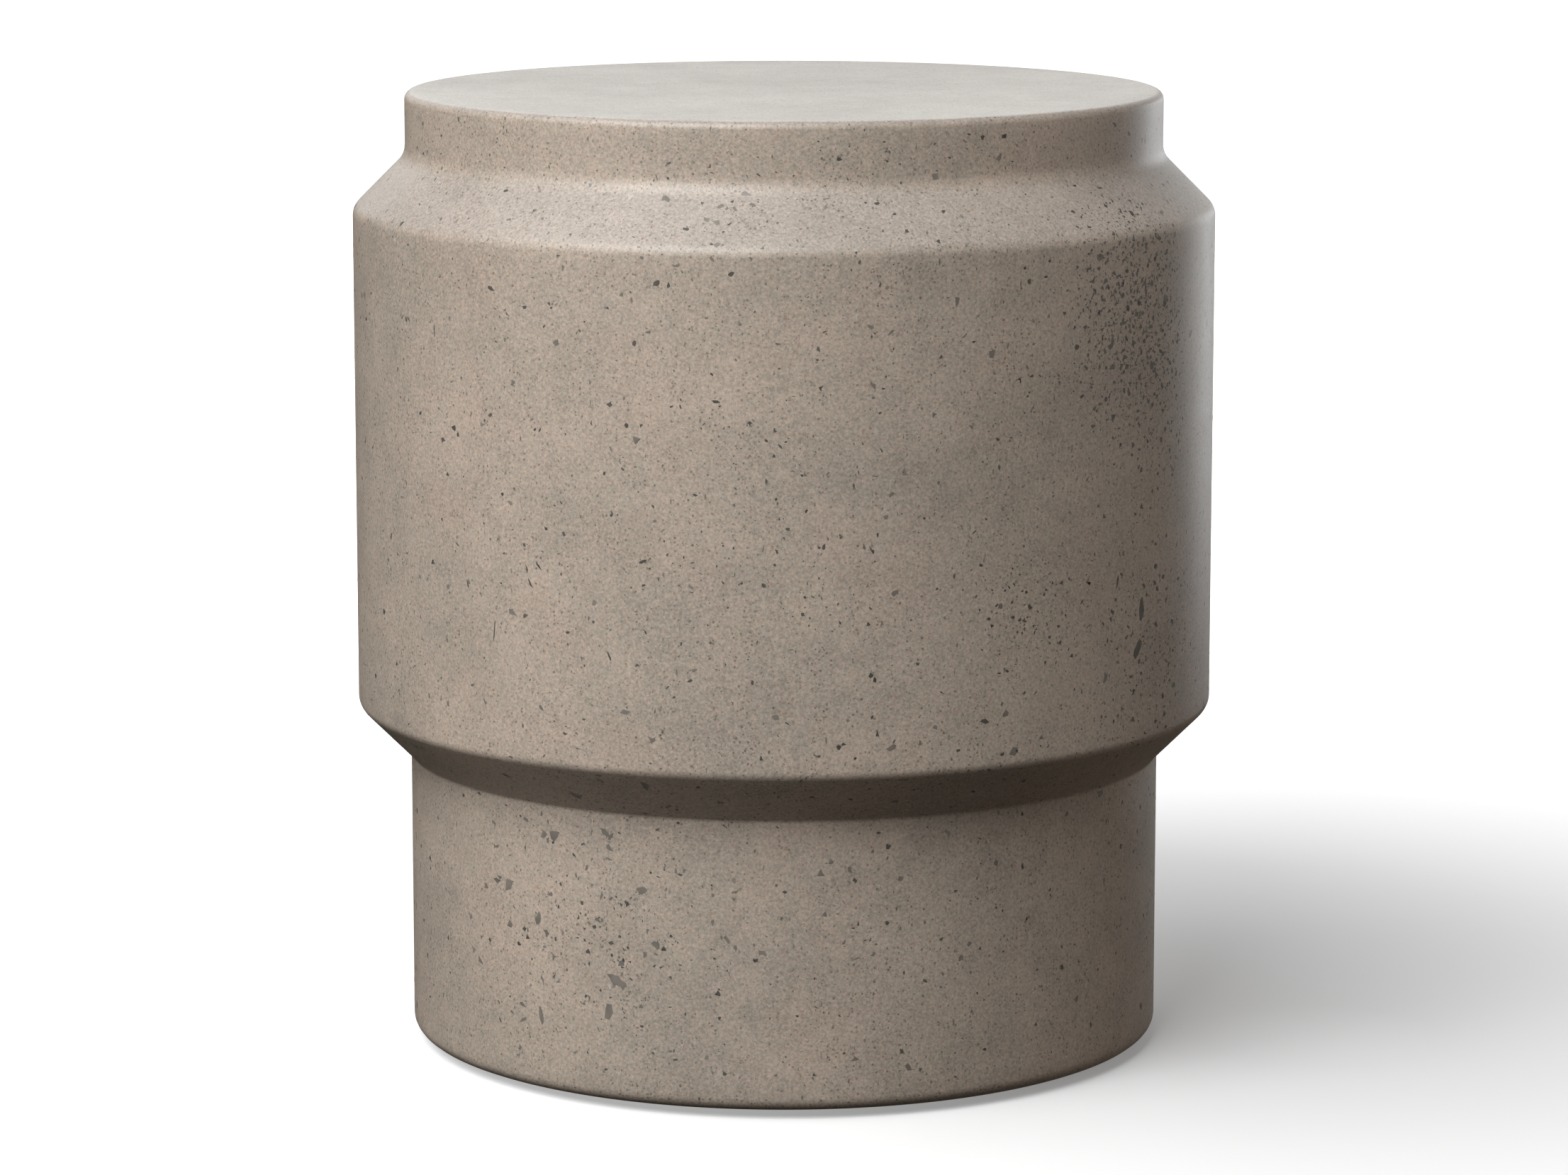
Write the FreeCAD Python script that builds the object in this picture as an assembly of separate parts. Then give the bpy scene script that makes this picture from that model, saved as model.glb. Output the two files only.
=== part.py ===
import FreeCAD, Part
import math
import os

# A drum stool and side table: a hollow casting of fibre-reinforced concrete, open
# underneath, that stands on four levelling feet. Each foot is a threaded socket cast into
# the concrete, a steel stud that screws into it, a nylon pad that snaps over the stud's
# ball end, and a rubber sole. Millimetres, +Z up, origin on the floor under the centre.

# ---- the casting, outside ----
FOOT_GAP = 4.0            # air between the floor and the concrete
DRUM_RADIUS = 205.0
SETBACK = 25.0            # the collar and the base are this much smaller in radius
BASE_HEIGHT = 136.0
DRUM_HEIGHT = 237.0
COLLAR_HEIGHT = 30.0
BOTTOM_EDGE_ROUND = 6.5
WAIST_ROUND = 3.0
DRUM_LOWER_ROUND = 6.4
DRUM_UPPER_ROUND = 8.6
COLLAR_FOOT_ROUND = 12.0
TOP_EDGE_ROUND = 3.75

# ---- the casting, inside ----
WALL = 15.0
TOP_SLAB = 24.0
RIM_WALL = 30.0           # the wall is doubled where it stands nearest the floor
RIM_HEIGHT = 26.0
RIM_CHAMFER = 4.0
INSIDE_ROUND = 8.0

# ---- the feet ----
FOOT_COUNT = 4
FOOT_CIRCLE = 128.0       # radius of the circle through the feet
FIRST_FOOT_ANGLE = 45.0
BOSS_RADIUS = 24.0
BOSS_HEIGHT = 46.0
BOSS_UNDERSIDE = 20.0     # height above the floor, so a foot is hidden inside the rim

THREAD_RADIUS = 5.0       # M10 thread
THREAD_PITCH = 1.5
TURNS_OF_TRAVEL = 7
SHANK_CLEARANCE = 0.07
SHANK_LENGTH = 34.0
SHANK_CHAMFER = 1.0

SOCKET_RADIUS = 8.0
SOCKET_LENGTH = 41.0
SOCKET_BORE_DEPTH = 37.0
SOCKET_FLANGE_RADIUS = 11.0
SOCKET_FLANGE = 2.0
SOCKET_LEAD_IN = 0.8
ANCHOR_GROOVE_RADIUS = 7.0
ANCHOR_GROOVE_WIDTH = 6.0
ANCHOR_GROOVE_FROM_END = 6.0

HEX_ACROSS_FLATS = 13.0
HEX_HEIGHT = 5.0
HEX_GAP = 0.1             # left between the hexagon and the socket when screwed home
NECK_RADIUS = 3.1
BALL_RADIUS = 5.0
BALL_CLEARANCE = 0.06
BALL_HEIGHT = 9.0         # of the ball's centre above the floor

SOLE_RADIUS = 17.0
SOLE_FLOOR = 2.5
SOLE_HEIGHT = 4.0
SOLE_ROUND = 0.8
PAD_RADIUS = 16.0
PAD_DISC = 3.5
HUB_RADIUS = 9.5
HUB_HEIGHT = 12.2         # of the hub's mouth above the floor, past the ball's middle
HUB_ROUND = 1.5
PAD_EDGE_ROUND = 1.0

# ---- heights and radii that follow from the above ----
COLLAR_RADIUS = DRUM_RADIUS - SETBACK
WAIST_Z = FOOT_GAP + BASE_HEIGHT
DRUM_BOTTOM_Z = WAIST_Z + SETBACK
DRUM_TOP_Z = DRUM_BOTTOM_Z + DRUM_HEIGHT
COLLAR_Z = DRUM_TOP_Z + SETBACK
TOP_Z = COLLAR_Z + COLLAR_HEIGHT
CEILING_Z = TOP_Z - TOP_SLAB
# an even wall on a 45 degree slope moves the inner corner by this much
SLOPE_SHIFT = WALL * (math.sqrt(2.0) - 1.0)
TRAVEL = TURNS_OF_TRAVEL * THREAD_PITCH

AXIS = FreeCAD.Vector(0, 0, 1)


def point(radius, height):
    """A point of a profile that is turned about the Z axis."""
    return FreeCAD.Vector(radius, 0, height)


def rounded_outline(corners):
    """A closed wire through (radius, height, rounding) corners, with tangent arcs."""
    count = len(corners)
    starts = []
    ends = []
    middles = []
    for i in range(count):
        here = point(corners[i][0], corners[i][1])
        back = point(corners[i - 1][0], corners[i - 1][1]) - here
        ahead = point(corners[(i + 1) % count][0], corners[(i + 1) % count][1]) - here
        back.normalize()
        ahead.normalize()
        rounding = corners[i][2]
        if rounding == 0:
            starts.append(here)
            ends.append(here)
            middles.append(None)
            continue
        half = back.getAngle(ahead) / 2.0
        run = rounding / math.tan(half)
        inward = back + ahead
        inward.normalize()
        starts.append(here + back * run)
        ends.append(here + ahead * run)
        middles.append(here + inward * (rounding / math.sin(half) - rounding))
    edges = []
    for i in range(count):
        if middles[i] is not None:
            edges.append(Part.Arc(starts[i], middles[i], ends[i]).toShape())
        following = starts[(i + 1) % count]
        if ends[i].distanceToPoint(following) > 1e-7:
            edges.append(Part.LineSegment(ends[i], following).toShape())
    return Part.Wire(edges)


def turned(corners):
    """The solid that an outline makes when it is turned about the Z axis."""
    solid = Part.Face(rounded_outline(corners)).revolve(FreeCAD.Vector(0, 0, 0), AXIS, 360)
    return Part.Solid(solid) if solid.ShapeType != "Solid" else solid


def cylinder(radius, bottom, top):
    """An upright cylinder on the Z axis."""
    return Part.makeCylinder(radius, top - bottom, FreeCAD.Vector(0, 0, bottom), AXIS)


def foot_angle(index):
    """The direction of a foot about the Z axis, in degrees."""
    return FIRST_FOOT_ANGLE + 360.0 / FOOT_COUNT * index


def at_foot(shape, index):
    """A copy of a shape made on the Z axis, moved out to a foot's place."""
    placed = shape.copy()
    placed.translate(FreeCAD.Vector(FOOT_CIRCLE, 0, 0))
    placed.rotate(FreeCAD.Vector(0, 0, 0), AXIS, foot_angle(index))
    return placed


def casting_outside():
    """The solid drum: base, undercut, drum, shoulder and collar."""
    return turned([
        (0, FOOT_GAP, 0),
        (COLLAR_RADIUS, FOOT_GAP, BOTTOM_EDGE_ROUND),
        (COLLAR_RADIUS, WAIST_Z, WAIST_ROUND),
        (DRUM_RADIUS, DRUM_BOTTOM_Z, DRUM_LOWER_ROUND),
        (DRUM_RADIUS, DRUM_TOP_Z, DRUM_UPPER_ROUND),
        (COLLAR_RADIUS, COLLAR_Z, COLLAR_FOOT_ROUND),
        (COLLAR_RADIUS, TOP_Z, TOP_EDGE_ROUND),
        (0, TOP_Z, 0),
    ])


def casting_inside():
    """The hollow: it follows the outside, and narrows at the doubled rim."""
    rim = COLLAR_RADIUS - RIM_WALL
    narrow = COLLAR_RADIUS - WALL
    wide = DRUM_RADIUS - WALL
    rim_top = FOOT_GAP + RIM_HEIGHT
    below = FOOT_GAP - 1.0
    return turned([
        (0, below, 0),
        (rim + RIM_CHAMFER, below, 0),
        (rim, below + RIM_CHAMFER, 0),
        (rim, rim_top, INSIDE_ROUND / 2),
        (narrow, rim_top + narrow - rim, INSIDE_ROUND),
        (narrow, WAIST_Z + SLOPE_SHIFT, INSIDE_ROUND),
        (wide, DRUM_BOTTOM_Z + SLOPE_SHIFT, INSIDE_ROUND),
        (wide, DRUM_TOP_Z - SLOPE_SHIFT, INSIDE_ROUND),
        (narrow, COLLAR_Z - SLOPE_SHIFT, INSIDE_ROUND),
        (narrow, CEILING_Z, INSIDE_ROUND),
        (0, CEILING_Z, 0),
    ])


def boss():
    """The lug that holds one socket: a post on the Z axis and a web out to the wall."""
    top = BOSS_UNDERSIDE + BOSS_HEIGHT
    post = cylinder(BOSS_RADIUS, BOSS_UNDERSIDE, top)
    reach = COLLAR_RADIUS - WALL / 2 - FOOT_CIRCLE
    corner = FreeCAD.Vector(0, -BOSS_RADIUS, BOSS_UNDERSIDE)
    web = Part.makeBox(reach, 2 * BOSS_RADIUS, BOSS_HEIGHT, corner)
    return post.fuse(web).removeSplitter()


def socket_outside():
    """The socket's outer shape, which the concrete is cast around."""
    bottom = BOSS_UNDERSIDE
    end = bottom + SOCKET_LENGTH
    groove_top = end - ANCHOR_GROOVE_FROM_END
    groove_bottom = groove_top - ANCHOR_GROOVE_WIDTH
    return turned([
        (0, bottom, 0),
        (SOCKET_FLANGE_RADIUS, bottom, 0),
        (SOCKET_FLANGE_RADIUS, bottom + SOCKET_FLANGE, 0),
        (SOCKET_RADIUS, bottom + SOCKET_FLANGE, 0),
        (SOCKET_RADIUS, groove_bottom, 0),
        (ANCHOR_GROOVE_RADIUS, groove_bottom, 0),
        (ANCHOR_GROOVE_RADIUS, groove_top, 0),
        (SOCKET_RADIUS, groove_top, 0),
        (SOCKET_RADIUS, end, 0),
        (0, end, 0),
    ])


def concrete_shell():
    """The casting: one piece, hollow, with a lug inside the rim for each foot."""
    shell = casting_outside().cut(casting_inside())
    for index in range(FOOT_COUNT):
        shell = shell.fuse(at_foot(boss(), index))
    for index in range(FOOT_COUNT):
        shell = shell.cut(at_foot(socket_outside(), index))
    return shell.removeSplitter()


def socket():
    """A threaded socket: its bore stands at the thread's outer radius, closed at the top."""
    bottom = BOSS_UNDERSIDE
    bore = turned([
        (0, bottom - 1.0, 0),
        (THREAD_RADIUS + SOCKET_LEAD_IN, bottom - 1.0, 0),
        (THREAD_RADIUS + SOCKET_LEAD_IN, bottom, 0),
        (THREAD_RADIUS, bottom + SOCKET_LEAD_IN, 0),
        (THREAD_RADIUS, bottom + SOCKET_BORE_DEPTH, 0),
        (0, bottom + SOCKET_BORE_DEPTH, 0),
    ])
    return socket_outside().cut(bore)


def stud():
    """A levelling stud: ball end, neck, spanner hexagon and threaded shank."""
    hex_top = BOSS_UNDERSIDE - HEX_GAP
    hex_bottom = hex_top - HEX_HEIGHT
    shank_top = hex_top + SHANK_LENGTH
    shank_radius = THREAD_RADIUS - SHANK_CLEARANCE
    ball = Part.makeSphere(BALL_RADIUS, FreeCAD.Vector(0, 0, BALL_HEIGHT))
    neck = cylinder(NECK_RADIUS, BALL_HEIGHT, hex_bottom)
    corner_radius = HEX_ACROSS_FLATS / math.sqrt(3.0)
    corners = []
    for side in range(7):
        angle = math.radians(60.0 * side)
        corners.append(FreeCAD.Vector(
            corner_radius * math.cos(angle), corner_radius * math.sin(angle), hex_bottom))
    hexagon = Part.Face(Part.makePolygon(corners)).extrude(AXIS * HEX_HEIGHT)
    shank = turned([
        (0, hex_top, 0),
        (shank_radius, hex_top, 0),
        (shank_radius, shank_top - SHANK_CHAMFER, 0),
        (shank_radius - SHANK_CHAMFER, shank_top, 0),
        (0, shank_top, 0),
    ])
    return ball.fuse([neck, hexagon, shank]).removeSplitter()


def pad():
    """A nylon pad: a disc and a hub whose round seat snaps over the ball."""
    disc_top = SOLE_FLOOR + PAD_DISC
    body = turned([
        (0, SOLE_FLOOR, 0),
        (PAD_RADIUS, SOLE_FLOOR, 0),
        (PAD_RADIUS, disc_top, PAD_EDGE_ROUND),
        (HUB_RADIUS, disc_top, PAD_EDGE_ROUND),
        (HUB_RADIUS, HUB_HEIGHT, HUB_ROUND),
        (0, HUB_HEIGHT, 0),
    ])
    seat = Part.makeSphere(BALL_RADIUS + BALL_CLEARANCE, FreeCAD.Vector(0, 0, BALL_HEIGHT))
    return body.cut(seat)


def sole():
    """A rubber sole with a low lip that holds the pad's edge."""
    lip = SOLE_HEIGHT - SOLE_FLOOR
    body = turned([
        (0, 0, 0),
        (SOLE_RADIUS, 0, SOLE_ROUND),
        (SOLE_RADIUS, SOLE_HEIGHT, lip / 4),
        (PAD_RADIUS, SOLE_HEIGHT, 0),
        (PAD_RADIUS, SOLE_FLOOR, 0),
        (0, SOLE_FLOOR, 0),
    ])
    return body


def export(node, shape):
    """Write one node's STEP file and print its size."""
    box = shape.BoundBox
    if not shape.isValid() or len(shape.Solids) != 1:
        raise ValueError(node + " is not one valid solid")
    shape.Solids[0].exportStep(os.path.join("parts", node + ".step"))
    print("%-16s %8.1f cm3   z %6.1f to %6.1f" % (node, shape.Volume / 1000, box.ZMin, box.ZMax))


def main():
    """Build every piece and write it out."""
    os.makedirs("parts", exist_ok=True)
    export("concrete_shell", concrete_shell())
    pieces = {"socket": socket(), "stud": stud(), "pad": pad(), "sole": sole()}
    for index in range(FOOT_COUNT):
        for name, shape in pieces.items():
            export("%s_%d" % (name, index + 1), at_foot(shape, index))
    print("travel of a foot: %.1f mm" % TRAVEL)


main()
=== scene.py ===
"""A drum stool and side table, cast in chipped concrete, on four levelling feet.

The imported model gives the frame. This script builds the surfaces that are seen: the casting with
its stone chips, the studs with their threads, the ribbed pads and the soles, and their finishes.
Lengths are metres, +Z is up and the front of the stool faces -Y.
"""

import logging
import math
import random
from abc import ABC, abstractmethod
from dataclasses import dataclass, field
from enum import Enum
from typing import Any, Callable, Iterable, Optional, Sequence, Union

import bmesh
import bpy
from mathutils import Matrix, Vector, noise


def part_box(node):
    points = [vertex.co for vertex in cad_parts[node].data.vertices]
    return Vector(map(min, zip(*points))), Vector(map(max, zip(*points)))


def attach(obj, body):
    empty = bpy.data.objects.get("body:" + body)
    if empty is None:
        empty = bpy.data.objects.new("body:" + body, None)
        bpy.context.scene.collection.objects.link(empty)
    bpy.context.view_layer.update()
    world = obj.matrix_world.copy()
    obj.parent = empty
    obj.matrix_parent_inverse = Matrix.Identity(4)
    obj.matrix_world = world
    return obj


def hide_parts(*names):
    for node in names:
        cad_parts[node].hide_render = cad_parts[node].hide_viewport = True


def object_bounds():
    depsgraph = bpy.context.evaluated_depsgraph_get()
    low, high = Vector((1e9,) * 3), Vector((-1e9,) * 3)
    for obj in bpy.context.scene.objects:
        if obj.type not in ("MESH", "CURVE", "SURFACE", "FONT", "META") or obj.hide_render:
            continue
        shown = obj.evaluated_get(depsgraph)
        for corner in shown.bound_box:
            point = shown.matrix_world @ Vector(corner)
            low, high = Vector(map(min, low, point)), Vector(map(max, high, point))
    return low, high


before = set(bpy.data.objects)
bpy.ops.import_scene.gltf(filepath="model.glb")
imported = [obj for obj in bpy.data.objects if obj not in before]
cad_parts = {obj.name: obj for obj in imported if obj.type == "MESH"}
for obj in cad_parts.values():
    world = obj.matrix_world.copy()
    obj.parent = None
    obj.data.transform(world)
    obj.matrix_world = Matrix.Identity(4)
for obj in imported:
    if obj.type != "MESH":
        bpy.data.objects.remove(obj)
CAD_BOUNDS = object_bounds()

LOG = logging.getLogger("drum_stool")

Colour = tuple[float, float, float]
Link = Union["Value", "Shade", bpy.types.NodeSocket, float, int, bool, str, tuple, Vector]


# ---------------------------------------------------------------------------------------------
# Node trees
# ---------------------------------------------------------------------------------------------


class Graph:
    """A node tree, for a material or for Geometry Nodes, that is built by calls."""

    def __init__(self, tree: bpy.types.NodeTree) -> None:
        """Keep the tree that new nodes go into."""
        self.tree = tree

    def node(self, kind: str, settings: Optional[dict[str, Any]] = None,
             inputs: Optional[dict[Union[str, int], Link]] = None) -> bpy.types.Node:
        """Add one node.

        Args:
            kind: the node's Blender type.
            settings: properties set before its sockets, with "stops" for a colour ramp.
            inputs: values or links, by the socket's name, identifier or number.

        Returns:
            The new node.
        """
        made = self.tree.nodes.new(kind)
        for key, value in (settings or {}).items():
            if key == "stops":
                self._set_stops(made.color_ramp, value)
            else:
                setattr(made, key, value)
        for key, value in (inputs or {}).items():
            self.feed(self._socket(made.inputs, key), value)
        return made

    def feed(self, socket: bpy.types.NodeSocket, value: Link) -> None:
        """Link a socket to another, or set its value.

        Args:
            socket: the input.
            value: a wrapped or plain output to link, or the value to set.
        """
        if isinstance(value, (Value, Shade)):
            value = value.socket
        if isinstance(value, bpy.types.NodeSocket):
            self.tree.links.new(value, socket)
        elif socket.type == "RGBA" and len(value) == 3:
            socket.default_value = (*value, 1.0)
        else:
            socket.default_value = value

    def value(self, kind: str, output: Union[str, int] = 0, settings: Optional[dict] = None,
              inputs: Optional[dict] = None) -> "Value":
        """One output of a new node, by its name, identifier or number, as a number."""
        made = self.node(kind, settings, inputs)
        return Value(self, self._socket(made.outputs, output))

    def shade(self, kind: str, output: Union[str, int] = 0, settings: Optional[dict] = None,
              inputs: Optional[dict] = None) -> "Shade":
        """One output of a new node, by its name, identifier or number, as a colour or a vector."""
        made = self.node(kind, settings, inputs)
        return Shade(self, self._socket(made.outputs, output))

    def vector(self, operation: str, first: Link, second: Link = (0.0, 0.0, 0.0)) -> "Shade":
        """The vector that a Vector Math node gives."""
        return self.shade("ShaderNodeVectorMath", 0, {"operation": operation}, {0: first, 1: second})

    def mix(self, amount: Link, first: Link, second: Link) -> "Shade":
        """Two colours mixed: the first where the amount is 0, the second where it is 1."""
        return self.shade("ShaderNodeMix", "Result_Color", {"data_type": "RGBA"},
                          {"Factor_Float": amount, "A_Color": first, "B_Color": second})

    def spread(self, amount: Link) -> "Shade":
        """A vector whose three parts are one number."""
        return self.shade("ShaderNodeCombineXYZ", 0, None, {0: amount, 1: amount, 2: amount})

    def parts(self, whole: Link) -> tuple["Value", "Value", "Value"]:
        """The three parts of a vector."""
        across, along, up = self.node("ShaderNodeSeparateXYZ", None, {0: whole}).outputs
        return Value(self, across), Value(self, along), Value(self, up)

    @staticmethod
    def _set_stops(ramp: bpy.types.ColorRamp, stops: Sequence[tuple[float, Colour]]) -> None:
        """Give a colour ramp its stops."""
        while len(ramp.elements) < len(stops):
            ramp.elements.new(0.5)
        for element, (place, colour) in zip(ramp.elements, stops):
            element.position = place
            element.color = (*colour, 1.0)

    @staticmethod
    def _socket(sockets: bpy.types.bpy_prop_collection, key: Union[str, int]) -> bpy.types.NodeSocket:
        """Find a socket by number, by identifier or by name."""
        if isinstance(key, int):
            return sockets[key]
        for socket in sockets:
            if socket.identifier == key:
                return socket
        return sockets[key]


@dataclass(frozen=True)
class Value:
    """A number that a node gives out. Arithmetic on it adds Math nodes."""

    graph: Graph
    socket: bpy.types.NodeSocket

    def math(self, operation: str, *others: Link, clamp: bool = False) -> "Value":
        """What a Math node makes of this number and others, held between 0 and 1 if clamped."""
        settings = {"operation": operation, "use_clamp": clamp}
        return self.graph.value("ShaderNodeMath", 0, settings, dict(enumerate((self, *others))))

    def __add__(self, other: Link) -> "Value":
        """This plus other."""
        return self.math("ADD", other)

    __radd__ = __add__

    def __mul__(self, other: Link) -> "Value":
        """This times other."""
        return self.math("MULTIPLY", other)

    __rmul__ = __mul__

    def __sub__(self, other: Link) -> "Value":
        """This minus other."""
        return self.math("SUBTRACT", other)

    def __rsub__(self, other: float) -> "Value":
        """Other minus this."""
        return (self * -1.0) + other

    def __truediv__(self, other: Link) -> "Value":
        """This over other."""
        return self.math("DIVIDE", other)

    def __pow__(self, other: Link) -> "Value":
        """This to the power of other."""
        return self.math("POWER", other)

    def __gt__(self, other: Link) -> "Value":
        """1 where this is more than other."""
        return self.math("GREATER_THAN", other)

    def clamped(self) -> "Value":
        """This, held between 0 and 1."""
        return self.math("ADD", 0.0, clamp=True)

    def ramp(self, low: float, high: float) -> "Value":
        """0 at low, 1 at high, straight between and held outside; low may be above high."""
        scale = 1.0 / (high - low)
        return self.math("MULTIPLY_ADD", scale, -low * scale, clamp=True)


@dataclass(frozen=True)
class Shade:
    """A colour or a vector that a node gives out."""

    graph: Graph
    socket: bpy.types.NodeSocket

    def toward(self, other: Link, amount: Link) -> "Shade":
        """This with another colour mixed in by an amount from 0 to 1."""
        return self.graph.mix(amount, self, other)

    def __add__(self, other: Link) -> "Shade":
        """The vector sum."""
        return self.graph.vector("ADD", self, other)

    def __sub__(self, other: Link) -> "Shade":
        """The vector difference."""
        return self.graph.vector("SUBTRACT", self, other)

    def __mul__(self, other: Link) -> "Shade":
        """Part by part, by a vector or by a number."""
        if isinstance(other, (int, float)):
            other = (float(other),) * 3
        elif isinstance(other, Value):
            other = self.graph.spread(other)
        return self.graph.vector("MULTIPLY", self, other)


# ---------------------------------------------------------------------------------------------
# Finishes
# ---------------------------------------------------------------------------------------------


class GrainShape(Enum):
    """How a grain is outlined, by the measure of distance that draws it."""

    ROUND = "EUCLIDEAN"
    ANGULAR = "MANHATTAN"


class SurfaceTextures:
    """The textures that the finishes share, all on Object coordinates."""

    def __init__(self, graph: Graph) -> None:
        """Take the material's tree and read the place on the piece."""
        self.graph = graph
        self.place = graph.shade("ShaderNodeTexCoord", "Object")

    def noise(self, size: float, detail: float = 2.0, roughness: float = 0.5,
              at: Optional[Shade] = None) -> Value:
        """Noise from 0 to 1, whose largest features are of a size, at the plain place or another."""
        inputs = {"Vector": at or self.place, "Scale": 1.0 / size, "Detail": detail, "Roughness": roughness}
        return self.graph.value("ShaderNodeTexNoise", 0, None, inputs)

    def warped(self, size: float, reach: float, stretch: Colour = (1.0, 1.0, 1.0),
               turn: Colour = (0.0, 0.0, 0.0)) -> Shade:
        """The place, pushed about by noise, then turned and stretched.

        Args:
            size: the width of the noise's features.
            reach: how far it pushes.
            stretch: what each axis is multiplied by; below 1 draws features out along it.
            turn: the turn before the stretch, in radians.

        Returns:
            The new place.
        """
        inputs = {"Vector": self.place, "Scale": 1.0 / size, "Detail": 1.0}
        push = self.graph.shade("ShaderNodeTexNoise", "Color", None, inputs)
        moved = self.place + (push - (0.5, 0.5, 0.5)) * (2.0 * reach)
        settings = {"vector_type": "POINT"}
        return self.graph.shade("ShaderNodeMapping", 0, settings,
                                {"Vector": moved, "Rotation": turn, "Scale": stretch})

    def grains(self, cell: float, radius: tuple[float, float], share: Union[float, Value],
               at: Shade, shape: GrainShape = GrainShape.ROUND, edge: float = 0.12) -> tuple[Value, Value]:
        """Separate grains: one in some of the cells of a random grid.

        Args:
            cell: the distance between cells.
            radius: the smallest and largest radius of a grain.
            share: the share of the cells that hold a grain.
            at: where the grid is read.
            shape: whether the grains are round or angular.
            edge: the width of a grain's soft edge, as a share of the cell.

        Returns:
            The mask of the grains, and a number from 0 to 1 that differs from grain to grain.
        """
        cells = self.graph.node("ShaderNodeTexVoronoi", {"distance": shape.value},
                                {"Vector": at, "Scale": 1.0 / cell})
        colour = self.graph.node("ShaderNodeSeparateColor", None, {0: cells.outputs["Color"]})
        pick, size, tone = (Value(self.graph, socket) for socket in colour.outputs)
        low, high = radius[0] / cell, radius[1] / cell
        reach = size * size * (high - low) + low
        distance = Value(self.graph, cells.outputs["Distance"])
        kept = (pick * -1.0 + share) > 0.0
        return ((reach - distance) / edge + 0.5).clamped() * kept, tone

    def facing_up(self) -> Value:
        """How far the surface faces up, from -1 to 1, on pieces whose axes are the frame's."""
        return self.graph.parts(self.graph.shade("ShaderNodeTexCoord", "Normal"))[2]

    def bump(self, height: Link, distance: float, strength: float = 1.0) -> Shade:
        """A normal tilted by a height from 0 to 1, where 1 is a distance in metres."""
        inputs = {"Strength": strength, "Distance": distance, "Height": height}
        return self.graph.shade("ShaderNodeBump", 0, None, inputs)


@dataclass(frozen=True)
class Finish(ABC):
    """How a surface looks. Each finish makes one material."""

    name: str

    @abstractmethod
    def dress(self, tex: SurfaceTextures) -> dict[str, Link]:
        """Give the surface shader's inputs.

        Args:
            tex: the textures, on the material's tree.

        Returns:
            Values or links by the name of the shader's socket.
        """

    def material(self) -> bpy.types.Material:
        """Make the material, or give the one that was made before.

        Returns:
            The material.
        """
        known = bpy.data.materials.get(self.name)
        if known:
            return known
        made = bpy.data.materials.new(self.name)
        made.use_nodes = True
        made.node_tree.nodes.clear()
        graph = Graph(made.node_tree)
        inputs = self.dress(SurfaceTextures(graph))
        surface = graph.node("ShaderNodeBsdfPrincipled", None, inputs)
        graph.node("ShaderNodeOutputMaterial", None, {"Surface": surface.outputs[0]})
        return made


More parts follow.
